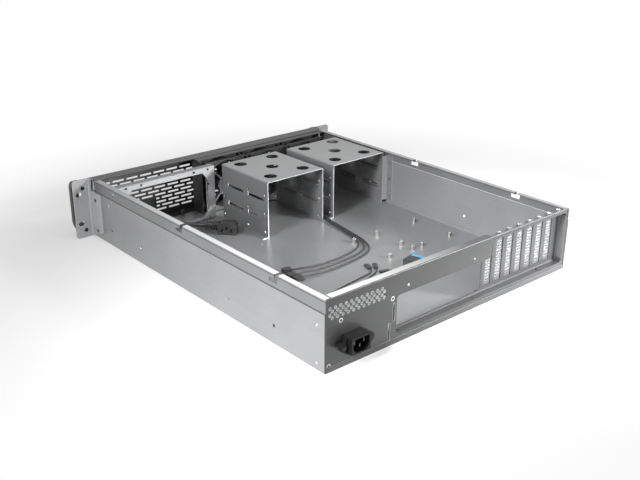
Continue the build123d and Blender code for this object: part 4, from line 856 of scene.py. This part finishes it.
class RACKCASE_OT_fasteners(bpy.types.Operator):
    """Add screw heads, rivets and bored standoffs"""

    bl_idname = "rackcase.fasteners"
    bl_label = "Fasteners"

    def execute(self, context):
        bright = steel("rivet_zinc", level=2.4, rough=0.28, metal=0.9)
        materials = bpy.data.materials
        out, back, up = (1, 0, 0), (0, 1, 0), (0, 0, 1)
        rivets = [facing(point, out) for point in WALL_RIVETS]
        rivets += [facing((x, PANEL_Y, z), back) for x, z in PANEL_RIVETS] + [facing(FLOOR_RIVET, up)]
        domes = lathe(dome_profile(RIVET_RADIUS, RIVET_HEIGHT), 20, rivets)
        add_mesh("wall_rivets", *domes, "bright_screws", bright)
        seats = [facing((x, PANEL_Y, z), back) for x, z in PANEL_SCREWS]
        collars = lathe(ring_profile(*COLLAR, proud=0.35, deep=0.6), 28, seats, closed=True)
        add_mesh("panel_collars", *collars, "rear_steel", bright)
        heads = lathe(dome_profile(SCREW_RADIUS, SCREW_HEIGHT), 24, seats)
        add_mesh("panel_screws", *heads, "black_screws", materials["dark_zinc"])
        spots = [(x, y) for x in BOARD_COLUMNS for y in BOARD_ROWS] + list(SPARE_POSTS)
        posts = lathe(post_profile(), 6, [facing((x, y, 0), up) for x, y in spots])
        nickel = materials["standoff_nickel"]
        piece = add_mesh("bored_posts", *posts, "standoff_metal", nickel, smooth=False)
        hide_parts("board_standoffs")
        first = COVER_X - SLOT_PITCH / 2
        spots = [(first - SLOT_PITCH * index, SLOT_SCREW_Y, SLOT_SCREW_Z) for index in range(COVERS)]
        screws = lathe(SLOT_SCREW, 12, [facing(spot, up) for spot in spots])
        zinc = materials["screw_zinc"]
        piece = add_mesh("slot_screw_heads", *screws, "bright_screws", zinc, smooth=False)
        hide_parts("slot_screws")
        return {"FINISHED"}


def post_profile():
    """Profile of a six-sided standoff: its corners' radius is half the flats' width over the cosine
    of 30 degrees, with a bevel on top and a bore that goes part of the way down."""
    corner = POST_FLATS / 2 / np.cos(np.pi / 6)
    top = POST_TOP
    outside = [(corner, POST_FLOOR), (corner, top - 0.4), (corner - 0.35, top)]
    return outside + [(BORE_RADIUS + 0.25, top), (BORE_RADIUS, top - 0.3), (BORE_RADIUS, BORE_BOTTOM)]


def handle_form(middle, sides=36):
    """Round-cornered C of a handle: its middle line runs out from the ear, round a corner, up, round a
    second corner and back, and a soft square is carried along it."""
    bend = HANDLE_BEND
    quarter = np.linspace(0, np.pi / 2, 12)
    turn = np.concatenate([[0], quarter, quarter + np.pi / 2, [np.pi]])
    half = len(turn) // 2
    centre_y = np.full(len(turn), HANDLE_TIP + bend)
    centre_y[[0, -1]] = HANDLE_ROOT
    centre_z = np.repeat([HANDLE_LOW + bend, HANDLE_HIGH - bend], half)
    across, out = soft_square(sides, HANDLE_ROUND)
    reach = bend + HANDLE_HALF_DEEP * out
    x = np.broadcast_to(middle - HANDLE_HALF_WIDE * across, (len(turn), sides))
    y = centre_y[:, None] - np.sin(turn)[:, None] * reach
    z = centre_z[:, None] - np.cos(turn)[:, None] * reach
    return mm(np.stack([x, y, z], -1).reshape(-1, 3)), capped(len(turn), sides)


class RACKCASE_OT_handles(bpy.types.Operator):
    """Add the two round-cornered handles"""

    bl_idname = "rackcase.handles"
    bl_label = "Handles"

    def execute(self, context):
        coat = bpy.data.materials["handle_coat"]
        for side, name in ((1, "right"), (-1, "left")):
            piece = add_mesh(f"grip_{name}", *handle_form(side * HANDLE_X), "handle_black", coat)
            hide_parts(f"handle_{name}")
        return {"FINISHED"}


def add_lamp(name, place, target, side, power, spread):
    """A soft square lamp that looks at a point, with its beam's spread in degrees."""
    data = bpy.data.lights.new(name, "AREA")
    data.shape = "SQUARE"
    data.size = side
    data.energy = power
    data.spread = np.radians(spread)
    lamp = bpy.data.objects.new(name, data)
    bpy.context.scene.collection.objects.link(lamp)
    lamp.location = place
    lamp.rotation_mode = "QUATERNION"
    lamp.rotation_quaternion = (Vector(target) - Vector(place)).to_track_quat("-Z", "Y")


def seen_straight(tree):
    """1 on rays from the camera, through glass or off a gloss, else 0."""
    path = tree.nodes.new("ShaderNodeLightPath").outputs
    seen = math_node(tree, "MAXIMUM", path["Is Camera Ray"], path["Is Transmission Ray"])
    return math_node(tree, "MAXIMUM", seen, path["Is Glossy Ray"])


def add_world():
    """An even grey sky that the camera, glass and every gloss see as white."""
    world = bpy.data.worlds.new("studio")
    bpy.context.scene.world = world
    world.use_nodes = True
    tree = world.node_tree
    back = tree.nodes["Background"]
    back.inputs["Color"].default_value = (1, 1, 1, 1)
    tree.links.new(ranged(tree, seen_straight(tree), SKY_LEVEL, 1.0), back.inputs["Strength"])


def add_floor():
    """A wide pale floor: close to the case it is lit and keeps the shadow, further out it blends
    into the white that the camera, glosses and glass see behind it."""
    edge = np.linspace(-FLOOR_HALF, FLOOR_HALF, FLOOR_CELLS + 1)
    x, y = np.meshgrid(edge, edge)
    points = np.stack([x, y, np.zeros_like(x)], -1).reshape(-1, 3)
    count = FLOOR_CELLS + 1
    corner = np.arange(FLOOR_CELLS)[:, None] * count + np.arange(FLOOR_CELLS)[None, :]
    faces = np.stack([corner, corner + 1, corner + count + 1, corner + count], -1).reshape(-1, 4)
    mesh = bpy.data.meshes.new("floor")
    mesh.from_pydata(points.tolist(), [], faces.tolist())
    floor = bpy.data.objects.new("floor", mesh)
    bpy.context.scene.collection.objects.link(floor)
    material, tree, shader = base_material("pale_floor")
    shader.inputs["Base Color"].default_value = (0.92, 0.92, 0.92, 1)
    shader.inputs["Roughness"].default_value = 0.7
    shader.inputs["Specular IOR Level"].default_value = 0.1
    coordinates = tree.nodes.new("ShaderNodeTexCoord")
    away = tree.nodes.new("ShaderNodeVectorMath")
    away.operation = "DISTANCE"
    tree.links.new(coordinates.outputs["Object"], away.inputs[0])
    away.inputs[1].default_value = CASE_MIDDLE
    blend = tree.nodes.new("ShaderNodeMapRange")
    blend.interpolation_type = "SMOOTHSTEP"
    steps = {"From Min": WHITE_FROM, "From Max": WHITE_TO, "To Min": WHITE_NEAR, "To Max": 1.0}
    for label, value in steps.items():
        blend.inputs[label].default_value = value
    tree.links.new(away.outputs["Value"], blend.inputs["Value"])
    white = tree.nodes.new("ShaderNodeEmission")
    mix = tree.nodes.new("ShaderNodeMixShader")
    tree.links.new(math_node(tree, "MULTIPLY", seen_straight(tree), blend.outputs[0]), mix.inputs[0])
    tree.links.new(shader.outputs[0], mix.inputs[1])
    tree.links.new(white.outputs[0], mix.inputs[2])
    leave = next(n for n in tree.nodes if n.type == "OUTPUT_MATERIAL")
    tree.links.new(mix.outputs[0], leave.inputs["Surface"])
    mesh.materials.append(material)


def add_camera():
    """The camera that took the picture."""
    data = bpy.data.cameras.new("camera")
    data.sensor_width = SENSOR
    data.lens = LENS
    data.clip_end = 20
    camera = bpy.data.objects.new("camera", data)
    bpy.context.scene.collection.objects.link(camera)
    camera.rotation_mode = "QUATERNION"
    turn = Vector(GAZE).to_track_quat("-Z", "Y")
    camera.rotation_quaternion = turn @ Quaternion((0, 0, 1), np.radians(ROLL))
    camera.location = EYE
    bpy.context.scene.camera = camera


class RACKCASE_OT_stage(bpy.types.Operator):
    """Set up the floor, light and camera"""

    bl_idname = "rackcase.stage"
    bl_label = "Stage"

    def execute(self, context):
        context.scene.view_settings.view_transform = "Standard"
        add_floor()
        add_world()
        for lamp in LAMPS:
            add_lamp(*lamp)
        add_camera()
        return {"FINISHED"}


class RACKCASE_PT_panel(bpy.types.Panel):
    """Lists the finishes, the sizes and the steps that build the case"""

    bl_idname = "RACKCASE_PT_panel"
    bl_label = "Rack case"
    bl_space_type = "VIEW_3D"
    bl_region_type = "UI"
    bl_category = "Rack case"

    def draw(self, context):
        for name in CaseFinish.__annotations__:
            self.layout.prop(context.scene.case_finish, name)
        for name in CaseSizes.__annotations__:
            self.layout.prop(context.scene.case_sizes, name)
        for operator in OPERATORS:
            self.layout.operator(operator.bl_idname)


OPERATORS = (
    RACKCASE_OT_stage, RACKCASE_OT_sheet_metal, RACKCASE_OT_black_parts, RACKCASE_OT_plug_relief,
    RACKCASE_OT_leads, RACKCASE_OT_drawn_edges, RACKCASE_OT_fasteners, RACKCASE_OT_handles,
)
CLASSES = (CaseFinish, CaseSizes, *OPERATORS, RACKCASE_PT_panel)


def register():
    for cls in CLASSES:
        bpy.utils.register_class(cls)
    bpy.types.Scene.case_finish = bpy.props.PointerProperty(type=CaseFinish)
    bpy.types.Scene.case_sizes = bpy.props.PointerProperty(type=CaseSizes)


def unregister():
    del bpy.types.Scene.case_sizes
    del bpy.types.Scene.case_finish
    for cls in reversed(CLASSES):
        bpy.utils.unregister_class(cls)


def main():
    """Registers the add-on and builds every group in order."""
    register()
    for operator in OPERATORS:
        group, name = operator.bl_idname.split(".")
        getattr(getattr(bpy.ops, group), name)()


if __name__ == "__main__":
    main()
